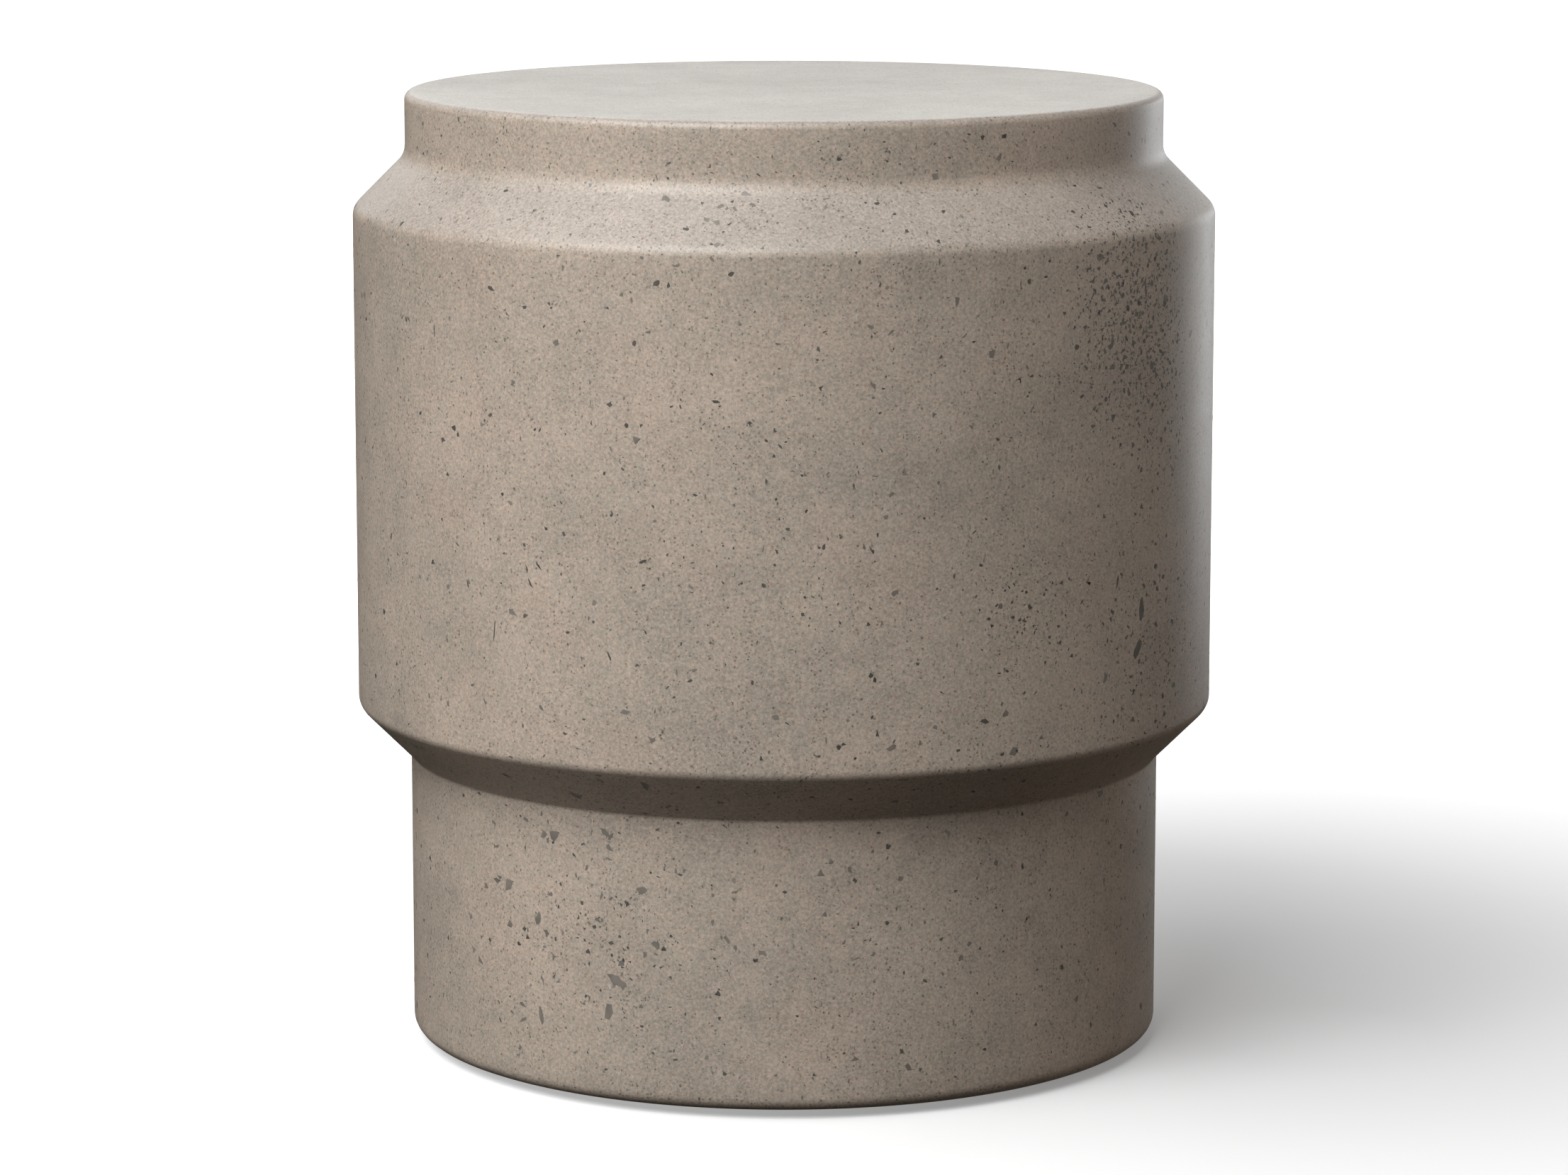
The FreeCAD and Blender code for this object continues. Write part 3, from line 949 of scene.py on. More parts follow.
@dataclass
class Casting:
    """The concrete drum: base, undercut, drum, shoulder, collar and top, hollow underneath."""

    foot_gap: float = 0.004
    drum_radius: float = 0.205
    setback: float = 0.025
    base_height: float = 0.136
    drum_height: float = 0.237
    collar_height: float = 0.030
    wall: float = 0.015
    top_slab: float = 0.024
    rim_wall: float = 0.030
    rim_height: float = 0.026
    rim_chamfer: float = 0.004
    inside_round: float = 0.008
    lip_round: float = 0.00375
    collar_round: float = 0.012
    shoulder_round: float = 0.0086
    drum_round: float = 0.0064
    waist_round: float = 0.003
    foot_round: float = 0.0065
    rim_round: float = 0.001
    lug_radius: float = 0.024
    lug_underside: float = 0.020
    lug_height: float = 0.046
    lug_round: float = 0.003
    segments: int = 288
    back_face_relief: float = 0.0005
    roll_waves: tuple[float, float] = (55.0, 160.0)     # coarse and fine, waves to the metre
    smooth_about_lugs: float = 0.004
    bare_lip: float = 0.006
    bare_foot: float = 0.009
    patches: Sequence[Patch] = ()
    shards: Sequence[Shard] = ()
    chip_count: dict[str, int] = field(default_factory=dict)

    def __post_init__(self) -> None:
        """Work out the heights and radii that follow from the sizes."""
        self.collar_radius = self.drum_radius - self.setback
        self.waist_z = self.foot_gap + self.base_height
        self.drum_bottom = self.waist_z + self.setback
        self.drum_top = self.drum_bottom + self.drum_height
        self.collar_z = self.drum_top + self.setback
        self.top_z = self.collar_z + self.collar_height
        self.ceiling = self.top_z - self.top_slab
        self.slope_shift = self.wall * (math.sqrt(2.0) - 1.0)

    def outside(self) -> list[Corner]:
        """The outer outline, from the middle of the top down to the rim."""
        return [
            Corner(0.0, self.top_z),
            Corner(self.collar_radius, self.top_z, self.lip_round),
            Corner(self.collar_radius, self.collar_z, self.collar_round),
            Corner(self.drum_radius, self.drum_top, self.shoulder_round),
            Corner(self.drum_radius, self.drum_bottom, self.drum_round),
            Corner(self.collar_radius, self.waist_z, self.waist_round),
            Corner(self.collar_radius, self.foot_gap, self.foot_round),
        ]

    def inside(self) -> list[Corner]:
        """The inner outline, from the rim up to the middle of the ceiling."""
        rim = self.collar_radius - self.rim_wall
        narrow = self.collar_radius - self.wall
        wide = self.drum_radius - self.wall
        rim_top = self.foot_gap + self.rim_height
        soft = self.inside_round
        return [
            Corner(rim + self.rim_chamfer - self.rim_round, self.foot_gap, self.rim_round),
            Corner(rim, self.foot_gap + self.rim_chamfer - self.rim_round, self.rim_round),
            Corner(rim, rim_top, soft / 2.0),
            Corner(narrow, rim_top + narrow - rim, soft),
            Corner(narrow, self.waist_z + self.slope_shift, soft),
            Corner(wide, self.drum_bottom + self.slope_shift, soft),
            Corner(wide, self.drum_top - self.slope_shift, soft),
            Corner(narrow, self.collar_z - self.slope_shift, soft),
            Corner(narrow, self.ceiling, soft),
            Corner(0.0, self.ceiling),
        ]

    def radius_at(self, height: float) -> float:
        """The outside radius at a height, roundings left out.

        Args:
            height: the height above the floor.

        Returns:
            The radius.
        """
        below, above = self.setback - (self.drum_bottom - height), self.setback - (height - self.drum_top)
        grown = min(below, above, self.setback)
        return self.collar_radius + max(grown, 0.0)

    def on_face(self, azimuth: float, height: float, lift: float = 0.0) -> Vector:
        """A place on the outside.

        Args:
            azimuth: degrees round from the front, to the right.
            height: the height above the floor.
            lift: how far off the surface.

        Returns:
            The place.
        """
        angle = math.radians(azimuth)
        radius = self.radius_at(height) + lift
        return Vector((radius * math.sin(angle), -radius * math.cos(angle), height))

    def build(self, feet: Sequence[Vector], socket_outline: Sequence[Vector]) -> bpy.types.Object:
        """Make the casting with its lugs and the seats of its sockets.

        Args:
            feet: where the feet stand.
            socket_outline: the outline of a socket, which the lugs are cut for.

        Returns:
            The finished piece.
        """
        drum = joined("drum_casting", [lathe(rounded(self.outside() + self.inside(), True), True,
                                             self.segments)])
        lugs = joined("lugs", [self._lug(foot) for foot in feet])
        seats = joined("seats", [lathe(socket_outline, True, 32, Vector((foot.x, foot.y, 0.0)))
                                 for foot in feet])
        for operation, tool in (("UNION", lugs), ("DIFFERENCE", seats)):
            cut = drum.modifiers.new(operation.lower(), "BOOLEAN")
            cut.operation, cut.object, cut.solver = operation, tool, "MANIFOLD"
        settle(drum)
        discard(lugs)
        discard(seats)
        finished(drum, CONCRETE, BACK_FACE)
        self._roll_back_face(drum)
        return drum

    def _lug(self, foot: Vector) -> bmesh.types.BMesh:
        """One lug: a post round a foot's axis and a web out to the wall, with soft edges."""
        out = Vector((foot.x, foot.y, 0.0)).normalized()
        side = Vector((-out.y, out.x, 0.0))
        reach = self.collar_radius - self.wall / 2.0 - Vector((foot.x, foot.y)).length
        bottom, top = self.lug_underside, self.lug_underside + self.lug_height
        soft, steps, around = self.lug_round, 4, 20
        levels = [(soft * (1.0 - math.sin(a)), bottom + soft * (1.0 - math.cos(a)))
                  for a in (math.pi / 2.0 * k / steps for k in range(steps + 1))]
        levels += [(inset, bottom + top - height) for inset, height in reversed(levels)]
        mesh = bmesh.new()
        rings = []
        for inset, height in levels:
            radius = self.lug_radius - inset
            flat = [Vector((radius * math.cos(a), radius * math.sin(a)))
                    for a in (math.pi / 2.0 + math.pi * k / around for k in range(around + 1))]
            flat += [Vector((reach, -radius)), Vector((reach, radius))]
            rings.append([mesh.verts.new(Vector((foot.x, foot.y, height)) + out * p.x + side * p.y)
                          for p in flat])
        for lower, upper in zip(rings, rings[1:]):
            for k in range(len(lower)):
                following = (k + 1) % len(lower)
                mesh.faces.new((lower[k], lower[following], upper[following], upper[k]))
        mesh.faces.new(list(reversed(rings[0])))
        mesh.faces.new(rings[-1])
        mesh.normal_update()
        return mesh

    def _roll_back_face(self, drum: bpy.types.Object) -> None:
        """Give the inner faces their own finish, and an uneven hand-rolled relief.

        Args:
            drum: the casting.
        """
        mesh = drum.data
        inner: set[int] = set()
        outer: set[int] = set()
        for face in mesh.polygons:
            place = face.center
            radius = math.hypot(place.x, place.y)
            seen = (radius > self.radius_at(place.z) - 0.6 * self.wall
                    or place.z > self.ceiling + 0.2 * self.top_slab
                    or place.z < self.foot_gap + self.rim_chamfer / 2.0)
            face.material_index = 0 if seen else 1
            (outer if seen else inner).update(face.vertices)
        clear = self.lug_underside + self.lug_height + self.smooth_about_lugs
        coarse, fine = self.roll_waves
        moved = {}
        for index in sorted(inner - outer):
            vertex = mesh.vertices[index]
            if vertex.co.z > clear:
                wave = noise.noise(vertex.co * coarse) + 0.5 * noise.noise(vertex.co * fine)
                moved[index] = vertex.co - vertex.normal * (abs(wave) * self.back_face_relief)
        for index, place in moved.items():
            mesh.vertices[index].co = place

    def ground(self) -> bpy.types.Object:
        """A helper object: the outside between its edges, which the chips are laid into."""
        side = ([Corner(self.collar_radius, self.top_z - self.bare_lip)] + self.outside()[2:-1]
                + [Corner(self.collar_radius, self.foot_gap + self.bare_foot)])
        return joined("ground", [lathe(rounded(side, False), False, self.segments)])

    def lay_chips(self, stone: Stone, finish: Finish, scatter: ChipScatter) -> bpy.types.Object:
        """Lay all the chips of one stone.

        Args:
            stone: which stone.
            finish: its finish.
            scatter: the tree that lays the small ones.

        Returns:
            The chips as one finished piece.
        """
        ground = self.ground()
        meshes = [self._shard(shard) for shard in self.shards if shard.stone is stone]
        for patch in self.patches:
            if patch.stone is stone:
                middle = self.on_face(patch.azimuth, patch.height)
                meshes.append(scatter.scatter(ground, patch, middle, finish))
        discard(ground)
        whole = joined(f"{stone.value}_chips", meshes)
        self.chip_count[stone.value] = len(whole.data.polygons) // (ChipScatter.CORNERS + 2)
        return finished(whole, finish, crease=25.0)

    def _shard(self, shard: Shard) -> bmesh.types.BMesh:
        """One large chip: a broken outline that follows the face, with its edge sunk in it.

        Args:
            shard: the chip.

        Returns:
            Its mesh.
        """
        draw = random.Random(shard.seed)
        corners = draw.randint(9, 12)
        lean = math.radians(shard.tilt)
        flat: list[Vector] = []
        for k in range(corners):
            angle = 2.0 * math.pi * (k + draw.uniform(-0.28, 0.28)) / corners
            long, wide = shard.length / 2.0 * math.cos(angle), shard.width / 2.0 * math.sin(angle)
            jag = draw.uniform(0.72, 1.14)
            flat.append(turned(Vector((wide, long)) * jag, -lean))
        mesh = bmesh.new()
        radius = self.radius_at(shard.height)

        def laid(point: Vector, lift: float) -> bmesh.types.BMVert:
            """A vertex at a flat point of the chip, bent round the drum."""
            azimuth = shard.azimuth + math.degrees(point.x / radius)
            return mesh.verts.new(self.on_face(azimuth, shard.height + point.y, lift))

        proud, sunk = ChipScatter.PROUD, ChipScatter.PROUD - ChipScatter.THICKNESS
        middle = laid(Vector((0.0, 0.0)), proud)
        inner = [laid(point * 0.55, proud) for point in flat]
        edge = [laid(point, proud) for point in flat]
        foot = [laid(point * 1.02, sunk) for point in flat]
        under = laid(Vector((0.0, 0.0)), sunk)
        for k in range(corners):
            following = (k + 1) % corners
            mesh.faces.new((middle, inner[following], inner[k]))
            mesh.faces.new((inner[k], inner[following], edge[following], edge[k]))
            mesh.faces.new((edge[k], edge[following], foot[following], foot[k]))
            mesh.faces.new((foot[k], foot[following], under))
        bmesh.ops.recalc_face_normals(mesh, faces=mesh.faces)
        return mesh


# ---------------------------------------------------------------------------------------------
# The feet
# ---------------------------------------------------------------------------------------------


class RibRing:
    """The Geometry Nodes tree that stands copies of one rib in a ring."""

    INPUTS = {"Count": "Int", "Middle": "Vector", "Material": "Material"}

    def __init__(self) -> None:
        """Build the tree once: points, turned copies, plain geometry, finish."""
        self.tree = declared("rib_ring", self.INPUTS)
        graph = Graph(self.tree)
        given = graph.node("NodeGroupInput").outputs
        points = graph.node("GeometryNodePoints", None,
                            {"Count": given["Count"], "Position": given["Middle"]})
        angle = graph.value("GeometryNodeInputIndex") * (2.0 * math.pi) / Value(graph, given["Count"])
        facing = graph.shade("FunctionNodeAxisAngleToRotation", 0, None,
                             {"Axis": (0.0, 0.0, 1.0), "Angle": angle})
        stood = graph.node("GeometryNodeInstanceOnPoints", None,
                           {"Points": points.outputs[0], "Instance": given["Geometry"], "Rotation": facing})
        real = graph.node("GeometryNodeRealizeInstances", None, {0: stood.outputs[0]})
        dressed = graph.node("GeometryNodeSetMaterial", None,
                             {"Geometry": real.outputs[0], "Material": given["Material"]})
        graph.node("NodeGroupOutput", None, {0: dressed.outputs[0]})

    def stand(self, rib: bpy.types.Object, count: int, middle: Vector, finish: Finish) -> bmesh.types.BMesh:
        """Copies of a rib, built round the origin's axis, in a ring round another axis."""
        return grown(self.tree, rib.data, {"Count": count, "Middle": middle, "Material": finish.material()})


@dataclass
class LevellingFoot:
    """One foot: a threaded stud with a ball end, a ribbed pad and a grooved sole."""

    number: int
    thread_radius: float = 0.00493
    thread_root: float = 0.00425
    thread_pitch: float = 0.0015
    thread_runout: float = 0.0022
    thread_steps: int = 6
    shank_length: float = 0.034
    hex_flats: float = 0.013
    hex_height: float = 0.005
    hex_top: float = 0.0199
    hex_trim: float = 0.0007
    neck_radius: float = 0.0031
    ball_radius: float = 0.005
    ball_height: float = 0.009
    pad_radius: float = 0.016
    pad_disc: float = 0.0035
    hub_radius: float = 0.0095
    hub_top: float = 0.0122
    ball_clearance: float = 0.00006
    sole_radius: float = 0.017
    sole_floor: float = 0.0025
    sole_height: float = 0.004
    ribs: int = 12
    rib_width: float = 0.0011
    sole_grooves: int = 3
    groove_depth: float = 0.0007
    socket_radius: float = 0.008
    socket_flange: float = 0.011
    flange_height: float = 0.002
    socket_length: float = 0.041
    anchor_radius: float = 0.007
    anchor_width: float = 0.006
    anchor_from_end: float = 0.006

    def __post_init__(self) -> None:
        """Read where this foot stands from the frame."""
        low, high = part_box(f"sole_{self.number}")
        middle = (Vector(low) + Vector(high)) / 2.0
        self.place = Vector((middle.x, middle.y, 0.0))

    def socket_outline(self) -> list[Vector]:
        """The outline of the socket, which the concrete is cast round."""
        bottom = self.hex_top + 0.0001
        end = bottom + self.socket_length
        groove_top = end - self.anchor_from_end
        groove_bottom = groove_top - self.anchor_width
        flange_top, below = bottom + self.flange_height, bottom - 0.001
        steps = ((0.0, end), (self.socket_radius, end), (self.socket_radius, groove_top),
                 (self.anchor_radius, groove_top), (self.anchor_radius, groove_bottom),
                 (self.socket_radius, groove_bottom), (self.socket_radius, flange_top),
                 (self.socket_flange, flange_top), (self.socket_flange, below), (0.0, below))
        return [Vector(step) for step in steps]

    def build(self, rib_ring: RibRing) -> list[bpy.types.Object]:
        """Make the stud, the pad and the sole, and dress the socket.

        Args:
            rib_ring: the tree that stands the pad's ribs.

        Returns:
            The new pieces.
        """
        dress_node(f"socket_{self.number}", ZINC)
        pieces = [self._stud(), self._pad(rib_ring), self._sole()]
        for piece, node, slot, body in zip(pieces, ("stud", "pad", "sole"),
                                           ("stainless", "nylon", "rubber"), ("screw", "foot", "foot")):
            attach(piece, f"{body}_{self.number}")
            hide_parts(f"{node}_{self.number}")
        return pieces

    def _stud(self) -> bpy.types.Object:
        """The stud: one turned body with a cut thread, and the hexagon round it."""
        hex_bottom = self.hex_top - self.hex_height
        top = self.hex_top + self.shank_length
        step = self.thread_pitch / self.thread_steps
        outline = [Vector((0.0, top)), Vector((self.thread_root - 0.0006, top))]
        threaded = self.shank_length - self.thread_runout
        count = int(threaded / step)
        outline += [Vector((self.thread_radius, top - 0.0006 - step * k)) for k in range(count + 1)]
        outline += [Vector((self.thread_root - 0.0002, top - threaded - 0.0009)),
                    Vector((self.thread_root - 0.0002, self.hex_top - 0.0005)),
                    Vector((self.neck_radius, hex_bottom + 0.0005))]
        dip = math.asin(self.neck_radius / self.ball_radius)
        outline += self._ball(self.ball_radius, (dip + (math.pi - dip) * k / 16.0 for k in range(17)))

        def threaded_radius(point: Vector, angle: float) -> float:
            """The radius of the thread's flank at a height and an angle."""
            if point.x < self.thread_radius - 1e-7:
                return point.x
            phase = (point.y / self.thread_pitch - angle / (2.0 * math.pi)) % 1.0
            ridge = 1.0 - abs(2.0 * phase - 1.0)
            chamfer = max(0.0, 1.0 - (top - point.y) / 0.0014) * 0.0006
            depth = self.thread_radius - self.thread_root
            return self.thread_root + depth * min(1.0, ridge * 1.25) - chamfer

        body = lathe(outline, True, 28, self.place, threaded_radius)
        piece = joined(f"levelling_stud_{self.number}", [body, self._hexagon(hex_bottom)])
        return finished(piece, STEEL, crease=30.0)

    def _ball(self, radius: float, angles: Iterable[float]) -> list[Vector]:
        """Points on a circle round the ball's middle, by their angles from straight up."""
        return [Vector((radius * math.sin(a), self.ball_height + radius * math.cos(a))) for a in angles]

    def _hexagon(self, bottom: float) -> bmesh.types.BMesh:
        """The spanner hexagon, with the turned chamfer that trims its corners."""
        flat, corner = self.hex_flats / 2.0, self.hex_flats / math.sqrt(3.0)
        trim, top = self.hex_trim, bottom + self.hex_height

        def reach(angle: float) -> float:
            """How far the hexagon's side is from its middle at an angle."""
            part = (angle + math.pi / 6.0) % (math.pi / 3.0) - math.pi / 6.0
            return flat / math.cos(part)

        def shaped(point: Vector, angle: float) -> float:
            """The hexagon's radius, by the level's mark: 1 on its trimmed faces, 2 on its sides."""
            if point.x < 1.5:
                return flat - 0.0002
            return min(reach(angle + math.pi / 6.0), flat + (corner - flat) * 0.9)

        levels = ((0.0, top), (1.0, top), (2.0, top - trim), (2.0, bottom + trim), (1.0, bottom),
                  (0.0, bottom))
        return lathe([Vector(level) for level in levels], True, 36, self.place, shaped)

    def _pad(self, rib_ring: RibRing) -> bpy.types.Object:
        """The pad: a disc, a hub with a round seat, and ribs between them."""
        disc_top = self.sole_floor + self.pad_disc
        seat = self.ball_radius + self.ball_clearance
        lip = self.hub_top - self.ball_height
        mouth = math.sqrt(seat ** 2 - lip ** 2)
        corners = [
            Corner(mouth, self.hub_top, 0.0),
            Corner(self.hub_radius, self.hub_top, 0.0015),
            Corner(self.hub_radius, disc_top, 0.001),
            Corner(self.pad_radius, disc_top, 0.001),
            Corner(self.pad_radius, self.sole_floor, 0.0),
            Corner(0.0, self.sole_floor, 0.0),
        ]
        outline = rounded(corners, False, 0.004)
        low, high = math.pi, math.asin(mouth / seat)
        outline += self._ball(seat, (low + (high - low) * k / 14.0 for k in range(14)))
        hub = lathe(outline, True, 48, self.place)
        rib = joined("rib", [self._rib(disc_top)])
        ribs = rib_ring.stand(rib, self.ribs, self.place, NYLON)
        discard(rib)
        return finished(joined(f"foot_pad_{self.number}", [hub, ribs]), NYLON)

    def _rib(self, disc_top: float) -> bmesh.types.BMesh:
        """One rib of the pad: a gusset from the hub's side down to the disc's edge.

        Args:
            disc_top: the top of the disc it stands on.

        Returns:
            Its mesh, round the origin's axis.
        """
        inner, outer = self.hub_radius - 0.0006, self.pad_radius - 0.0012
        foot, crest = disc_top - 0.0004, self.hub_top - 0.0022
        profile = [(inner, foot), (outer, foot), (outer, foot + 0.0008), (inner + 0.0012, crest),
                   (inner, crest)]
        mesh = bmesh.new()
        near, far = ([mesh.verts.new((reach, half, height)) for reach, height in profile]
                     for half in (-self.rib_width / 2.0, self.rib_width / 2.0))
        for k in range(len(profile)):
            following = (k + 1) % len(profile)
            mesh.faces.new((near[k], near[following], far[following], far[k]))
        mesh.faces.new(list(reversed(near)))
        mesh.faces.new(far)
        bmesh.ops.recalc_face_normals(mesh, faces=mesh.faces)
        return mesh

    def _sole(self) -> bpy.types.Object:
        """The sole: a shallow cup with rings cut in the face that meets the floor."""
        corners = [
            Corner(0.0, self.sole_floor),
            Corner(self.pad_radius, self.sole_floor),
            Corner(self.pad_radius, self.sole_height),
            Corner(self.sole_radius, self.sole_height, 0.0004),
            Corner(self.sole_radius, 0.0, 0.0008),
        ]
        spacing = self.pad_radius / (self.sole_grooves + 1)
        for k in range(self.sole_grooves, 0, -1):
            middle = spacing * k
            corners += [Corner(middle + 0.0008, 0.0), Corner(middle + 0.0004, self.groove_depth),
                        Corner(middle - 0.0004, self.groove_depth), Corner(middle - 0.0008, 0.0)]
        corners.append(Corner(0.0, 0.0))
        piece = joined(f"rubber_sole_{self.number}",
                       [lathe(rounded(corners, False, 0.004, 3), True, 48, self.place)])
        return finished(piece, RUBBER)


# ---------------------------------------------------------------------------------------------
# The studio
# ---------------------------------------------------------------------------------------------


@dataclass(frozen=True)
class SoftLight:
    """One square area light that looks at the stool.

    The azimuth is in degrees round from the front, to the right; the elevation is above level.
    """

    name: str
    azimuth: float
    elevation: float
    power: float
    size: float = 2.0
    distance: float = 3.6
    colour: Colour = (1.0, 1.0, 1.0)

    def place(self, aim: Vector) -> Vector:
        """Where the light hangs to look at a place."""
        across, up = math.radians(self.azimuth), math.radians(self.elevation)
        return aim + self.distance * Vector((math.sin(across) * math.cos(up),
                                             -math.cos(across) * math.cos(up), math.sin(up)))


@dataclass
class Studio:
    """A pale floor, soft lights and the camera."""

    aim: Vector
    camera_distance: float = 2.645
    camera_height: float = 0.671
    camera_tilt: float = 9.746
    lens: float = 127.8
    floor_half: float = 14.0
    lights: Sequence[SoftLight] = ()
    sky: Colour = (0.06, 0.062, 0.066)
    ground_glow: Colour = (0.050, 0.043, 0.037)

    def build(self) -> None:
        """Set the floor, the sky, the lights and the camera."""
        self._floor()
        self._sky()
        for light in self.lights:
            self._light(light)
        self._camera()
        bpy.context.scene.view_settings.view_transform = "Standard"

    def _floor(self) -> None:
        """A large flat floor at the height of the soles."""
        mesh = bmesh.new()
        mesh.faces.new([mesh.verts.new((x * self.floor_half, y * self.floor_half, 0.0))
                        for x, y in ((-1.0, -1.0), (1.0, -1.0), (1.0, 1.0), (-1.0, 1.0))])
        floor = joined("studio_floor", [mesh])
        floor.data.materials.append(PAPER.material())
        floor.visible_diffuse = False
        floor.visible_glossy = False

    def _sky(self) -> None:
        """A white sky over a dark ground, so that the underside stays in shade."""
        world = bpy.data.worlds.new("studio_sky")
        world.use_nodes = True
        world.node_tree.nodes.clear()
        graph = Graph(world.node_tree)
        up = graph.parts(graph.shade("ShaderNodeTexCoord", "Generated"))[2]
        colour = graph.mix(up.ramp(-0.03, 0.0), self.ground_glow, self.sky)
        glow = graph.node("ShaderNodeBackground", None, {"Color": colour, "Strength": 1.0})
        graph.node("ShaderNodeOutputWorld", None, {"Surface": glow.outputs[0]})
        bpy.context.scene.world = world

    def _light(self, light: SoftLight) -> None:
        """Add one area light."""
        lamp = bpy.data.lights.new(light.name, "AREA")
        lamp.shape, lamp.size, lamp.energy, lamp.color = "SQUARE", light.size, light.power, light.colour
        made = bpy.data.objects.new(light.name, lamp)
        made.location = light.place(self.aim)
        made.rotation_euler = (self.aim - made.location).to_track_quat("-Z", "Y").to_euler()
        bpy.context.scene.collection.objects.link(made)

    def _camera(self) -> None:
        """The camera: square to the front, a little above the top."""
        lens = bpy.data.cameras.new("camera")
        lens.lens, lens.sensor_width = self.lens, 36.0
        lens.clip_end = 100.0
        made = bpy.data.objects.new("camera", lens)
        made.location = (0.0, -self.camera_distance, self.camera_height)
        made.rotation_euler = (math.radians(90.0 - self.camera_tilt), 0.0, 0.0)
        bpy.context.scene.collection.objects.link(made)
        bpy.context.scene.camera = made


# ---------------------------------------------------------------------------------------------
# The stool
# ---------------------------------------------------------------------------------------------


PATCHES = (
    Patch(Stone.SLATE, 50.5, 0.366, 0.049, 260000.0, 0.0007, 0.0028, 11, 0.40, 0.30),
    Patch(Stone.SLATE, 55.0, 0.335, 0.046, 80000.0, 0.0008, 0.0026, 12, 0.40, 0.60),
    Patch(Stone.SLATE, 56.0, 0.210, 0.046, 52000.0, 0.0009, 0.0032, 13, 0.35, 0.20),
    Patch(Stone.SLATE, 33.0, 0.236, 0.036, 80000.0, 0.0007, 0.0022, 14),
    Patch(Stone.SLATE, 0.0, 0.230, 9.0, 5600.0, 0.0008, 0.0026, 15, 0.20),
    Patch(Stone.SLATE, 12.0, 0.440, 0.075, 9000.0, 0.0008, 0.0018, 16),
    Patch(Stone.SLATE, 150.0, 0.290, 0.090, 24000.0, 0.0009, 0.0036, 17),
    Patch(Stone.SLATE, 225.0, 0.340, 0.070, 30000.0, 0.0009, 0.0036, 18),
    Patch(Stone.SLATE, 200.0, 0.080, 0.060, 18000.0, 0.0009, 0.0032, 19),
    Patch(Stone.SLATE, -24.0, 0.075, 0.060, 30000.0, 0.0008, 0.0022, 20),
    Patch(Stone.SLATE, -5.0, 0.270, 0.070, 14000.0, 0.0008, 0.0020, 26, 0.24),
    Patch(Stone.GREY, -30.0, 0.080, 0.075, 9000.0, 0.0014, 0.0056, 21, 0.35, 0.25),
    Patch(Stone.GREY, -9.0, 0.416, 0.034, 12000.0, 0.0014, 0.0060, 22),
    Patch(Stone.GREY, 0.0, 0.230, 9.0, 700.0, 0.0012, 0.0036, 23),
    Patch(Stone.GREY, 0.0, 0.230, 9.0, 1300.0, 0.0014, 0.0046, 27, 0.12),
    Patch(Stone.GREY, 130.0, 0.090, 0.080, 5200.0, 0.0014, 0.0055, 24),
    Patch(Stone.GREY, 250.0, 0.230, 0.085, 4200.0, 0.0014, 0.0052, 25),
)

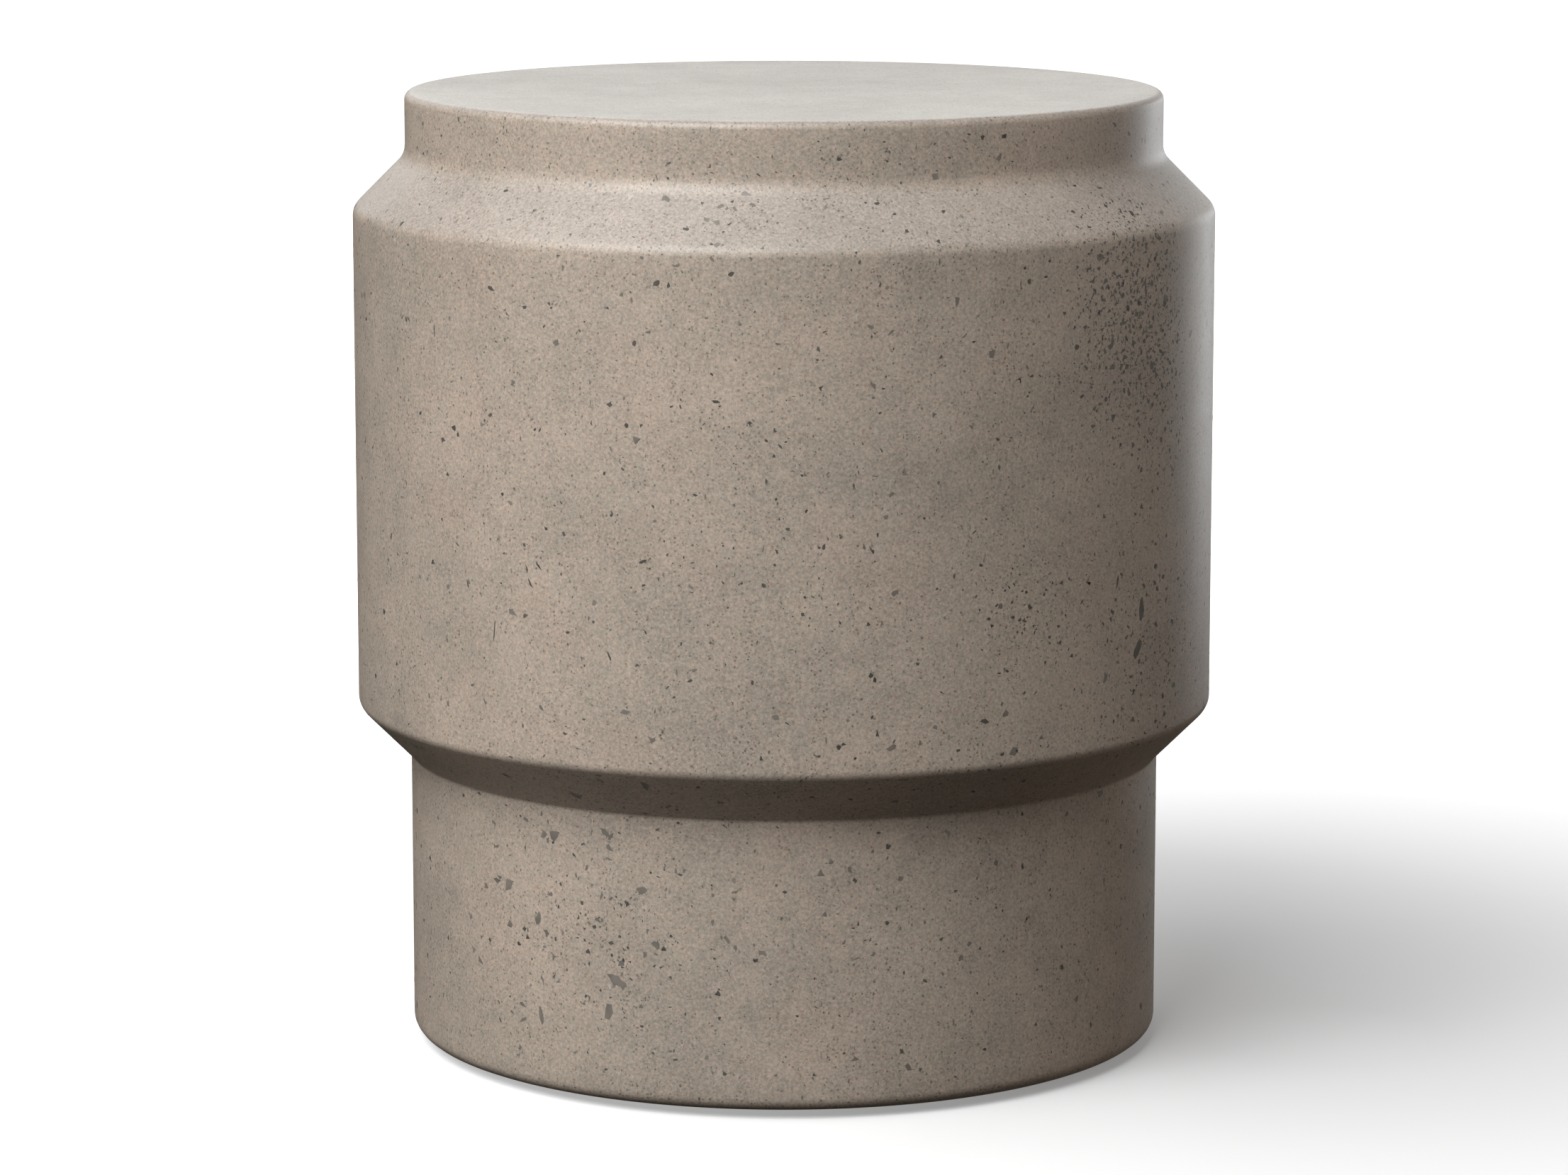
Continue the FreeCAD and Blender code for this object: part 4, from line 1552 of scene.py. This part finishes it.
SHARDS = (
    Shard(Stone.SLATE, 53.4, 0.2270, 0.0125, 0.0044, 3.0, 31),
    Shard(Stone.SLATE, 52.6, 0.2095, 0.0112, 0.0050, 38.0, 32),
    Shard(Stone.SLATE, 57.0, 0.2185, 0.0034, 0.0019, -50.0, 33),
    Shard(Stone.SLATE, 48.0, 0.2425, 0.0062, 0.0012, 12.0, 34),
    Shard(Stone.SLATE, 56.5, 0.2385, 0.0036, 0.0017, -60.0, 35),
    Shard(Stone.SLATE, 53.5, 0.3760, 0.0098, 0.0016, -6.0, 36),
    Shard(Stone.SLATE, 48.5, 0.3745, 0.0030, 0.0022, 25.0, 37),
    Shard(Stone.SLATE, 46.5, 0.3535, 0.0052, 0.0021, 6.0, 38),
    Shard(Stone.SLATE, 40.0, 0.3535, 0.0032, 0.0026, 30.0, 39),
    Shard(Stone.GREY, -25.2, 0.0620, 0.0100, 0.0047, -62.0, 41),
    Shard(Stone.GREY, -26.6, 0.0465, 0.0096, 0.0042, 8.0, 42),
    Shard(Stone.GREY, -39.0, 0.0860, 0.0066, 0.0036, 10.0, 43),
    Shard(Stone.GREY, -38.6, 0.0400, 0.0086, 0.0028, -8.0, 44),
    Shard(Stone.GREY, -21.0, 0.1055, 0.0060, 0.0036, 80.0, 45),
    Shard(Stone.GREY, -27.0, 0.1310, 0.0062, 0.0026, -55.0, 46),
    Shard(Stone.SLATE, -16.0, 0.3870, 0.0040, 0.0026, 60.0, 47),
    Shard(Stone.SLATE, -40.0, 0.3800, 0.0040, 0.0020, -70.0, 48),
    Shard(Stone.SLATE, -50.9, 0.3570, 0.0070, 0.0007, -3.0, 49),
    Shard(Stone.SLATE, -39.9, 0.2240, 0.0110, 0.0007, 5.0, 50),
    Shard(Stone.SLATE, -34.0, 0.2480, 0.0044, 0.0011, -28.0, 51),
    Shard(Stone.SLATE, -32.6, 0.2560, 0.0046, 0.0009, -42.0, 52),
    Shard(Stone.SLATE, -44.6, 0.2430, 0.0032, 0.0010, -20.0, 53),
    Shard(Stone.SLATE, -17.9, 0.2620, 0.0046, 0.0015, 66.0, 54),
    Shard(Stone.SLATE, -8.5, 0.3350, 0.0042, 0.0014, -80.0, 55),
    Shard(Stone.SLATE, -18.9, 0.3600, 0.0026, 0.0022, 0.0, 56),
    Shard(Stone.SLATE, -20.0, 0.3230, 0.0022, 0.0019, 0.0, 57),
    Shard(Stone.SLATE, -6.5, 0.3920, 0.0030, 0.0022, 70.0, 58),
    Shard(Stone.SLATE, -22.5, 0.2180, 0.0052, 0.0010, -22.0, 59),
)

LIGHTS = (
    SoftLight("key", -30.0, 44.0, 157.0, 2.5),
    SoftLight("side_left", -68.0, 40.0, 50.0, 3.0),
    SoftLight("rim_right", 145.0, 2.0, 20.0, 1.3, colour=(0.93, 0.97, 1.0)),
    SoftLight("fill_right", 94.0, 12.0, 21.0, 2.6, colour=(1.0, 0.90, 0.81)),
    SoftLight("back_left", -160.0, 24.0, 16.0),
    SoftLight("back_right", 160.0, 16.0, 16.0),
)


def main() -> None:
    """Build the stool in order and report each piece."""
    logging.basicConfig(level=logging.INFO, format="%(name)s: %(message)s")
    low, high = (Vector(corner) for corner in CAD_BOUNDS)
    feet = [LevellingFoot(number) for number in range(1, 5)]
    casting = Casting(patches=PATCHES, shards=SHARDS)

    drum = casting.build([foot.place for foot in feet], feet[0].socket_outline())
    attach(drum, "shell")
    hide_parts("concrete_shell")
    LOG.info("casting: %d faces", len(drum.data.polygons))

    scatter = ChipScatter()
    for stone, finish in ((Stone.SLATE, SLATE_CHIP), (Stone.GREY, GREY_CHIP)):
        chips = casting.lay_chips(stone, finish, scatter)
        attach(chips, "shell")
        LOG.info("%s chips: about %d", stone.value, casting.chip_count[stone.value])

    rib_ring = RibRing()
    for foot in feet:
        for piece in foot.build(rib_ring):
            LOG.info("foot %d: %s, %d faces", foot.number, piece.name, len(piece.data.polygons))
        LOG.info("foot %d: socket in %s", foot.number, ZINC.name)

    Studio(aim=(low + high) / 2.0, lights=LIGHTS).build()


if __name__ == "__main__":
    main()
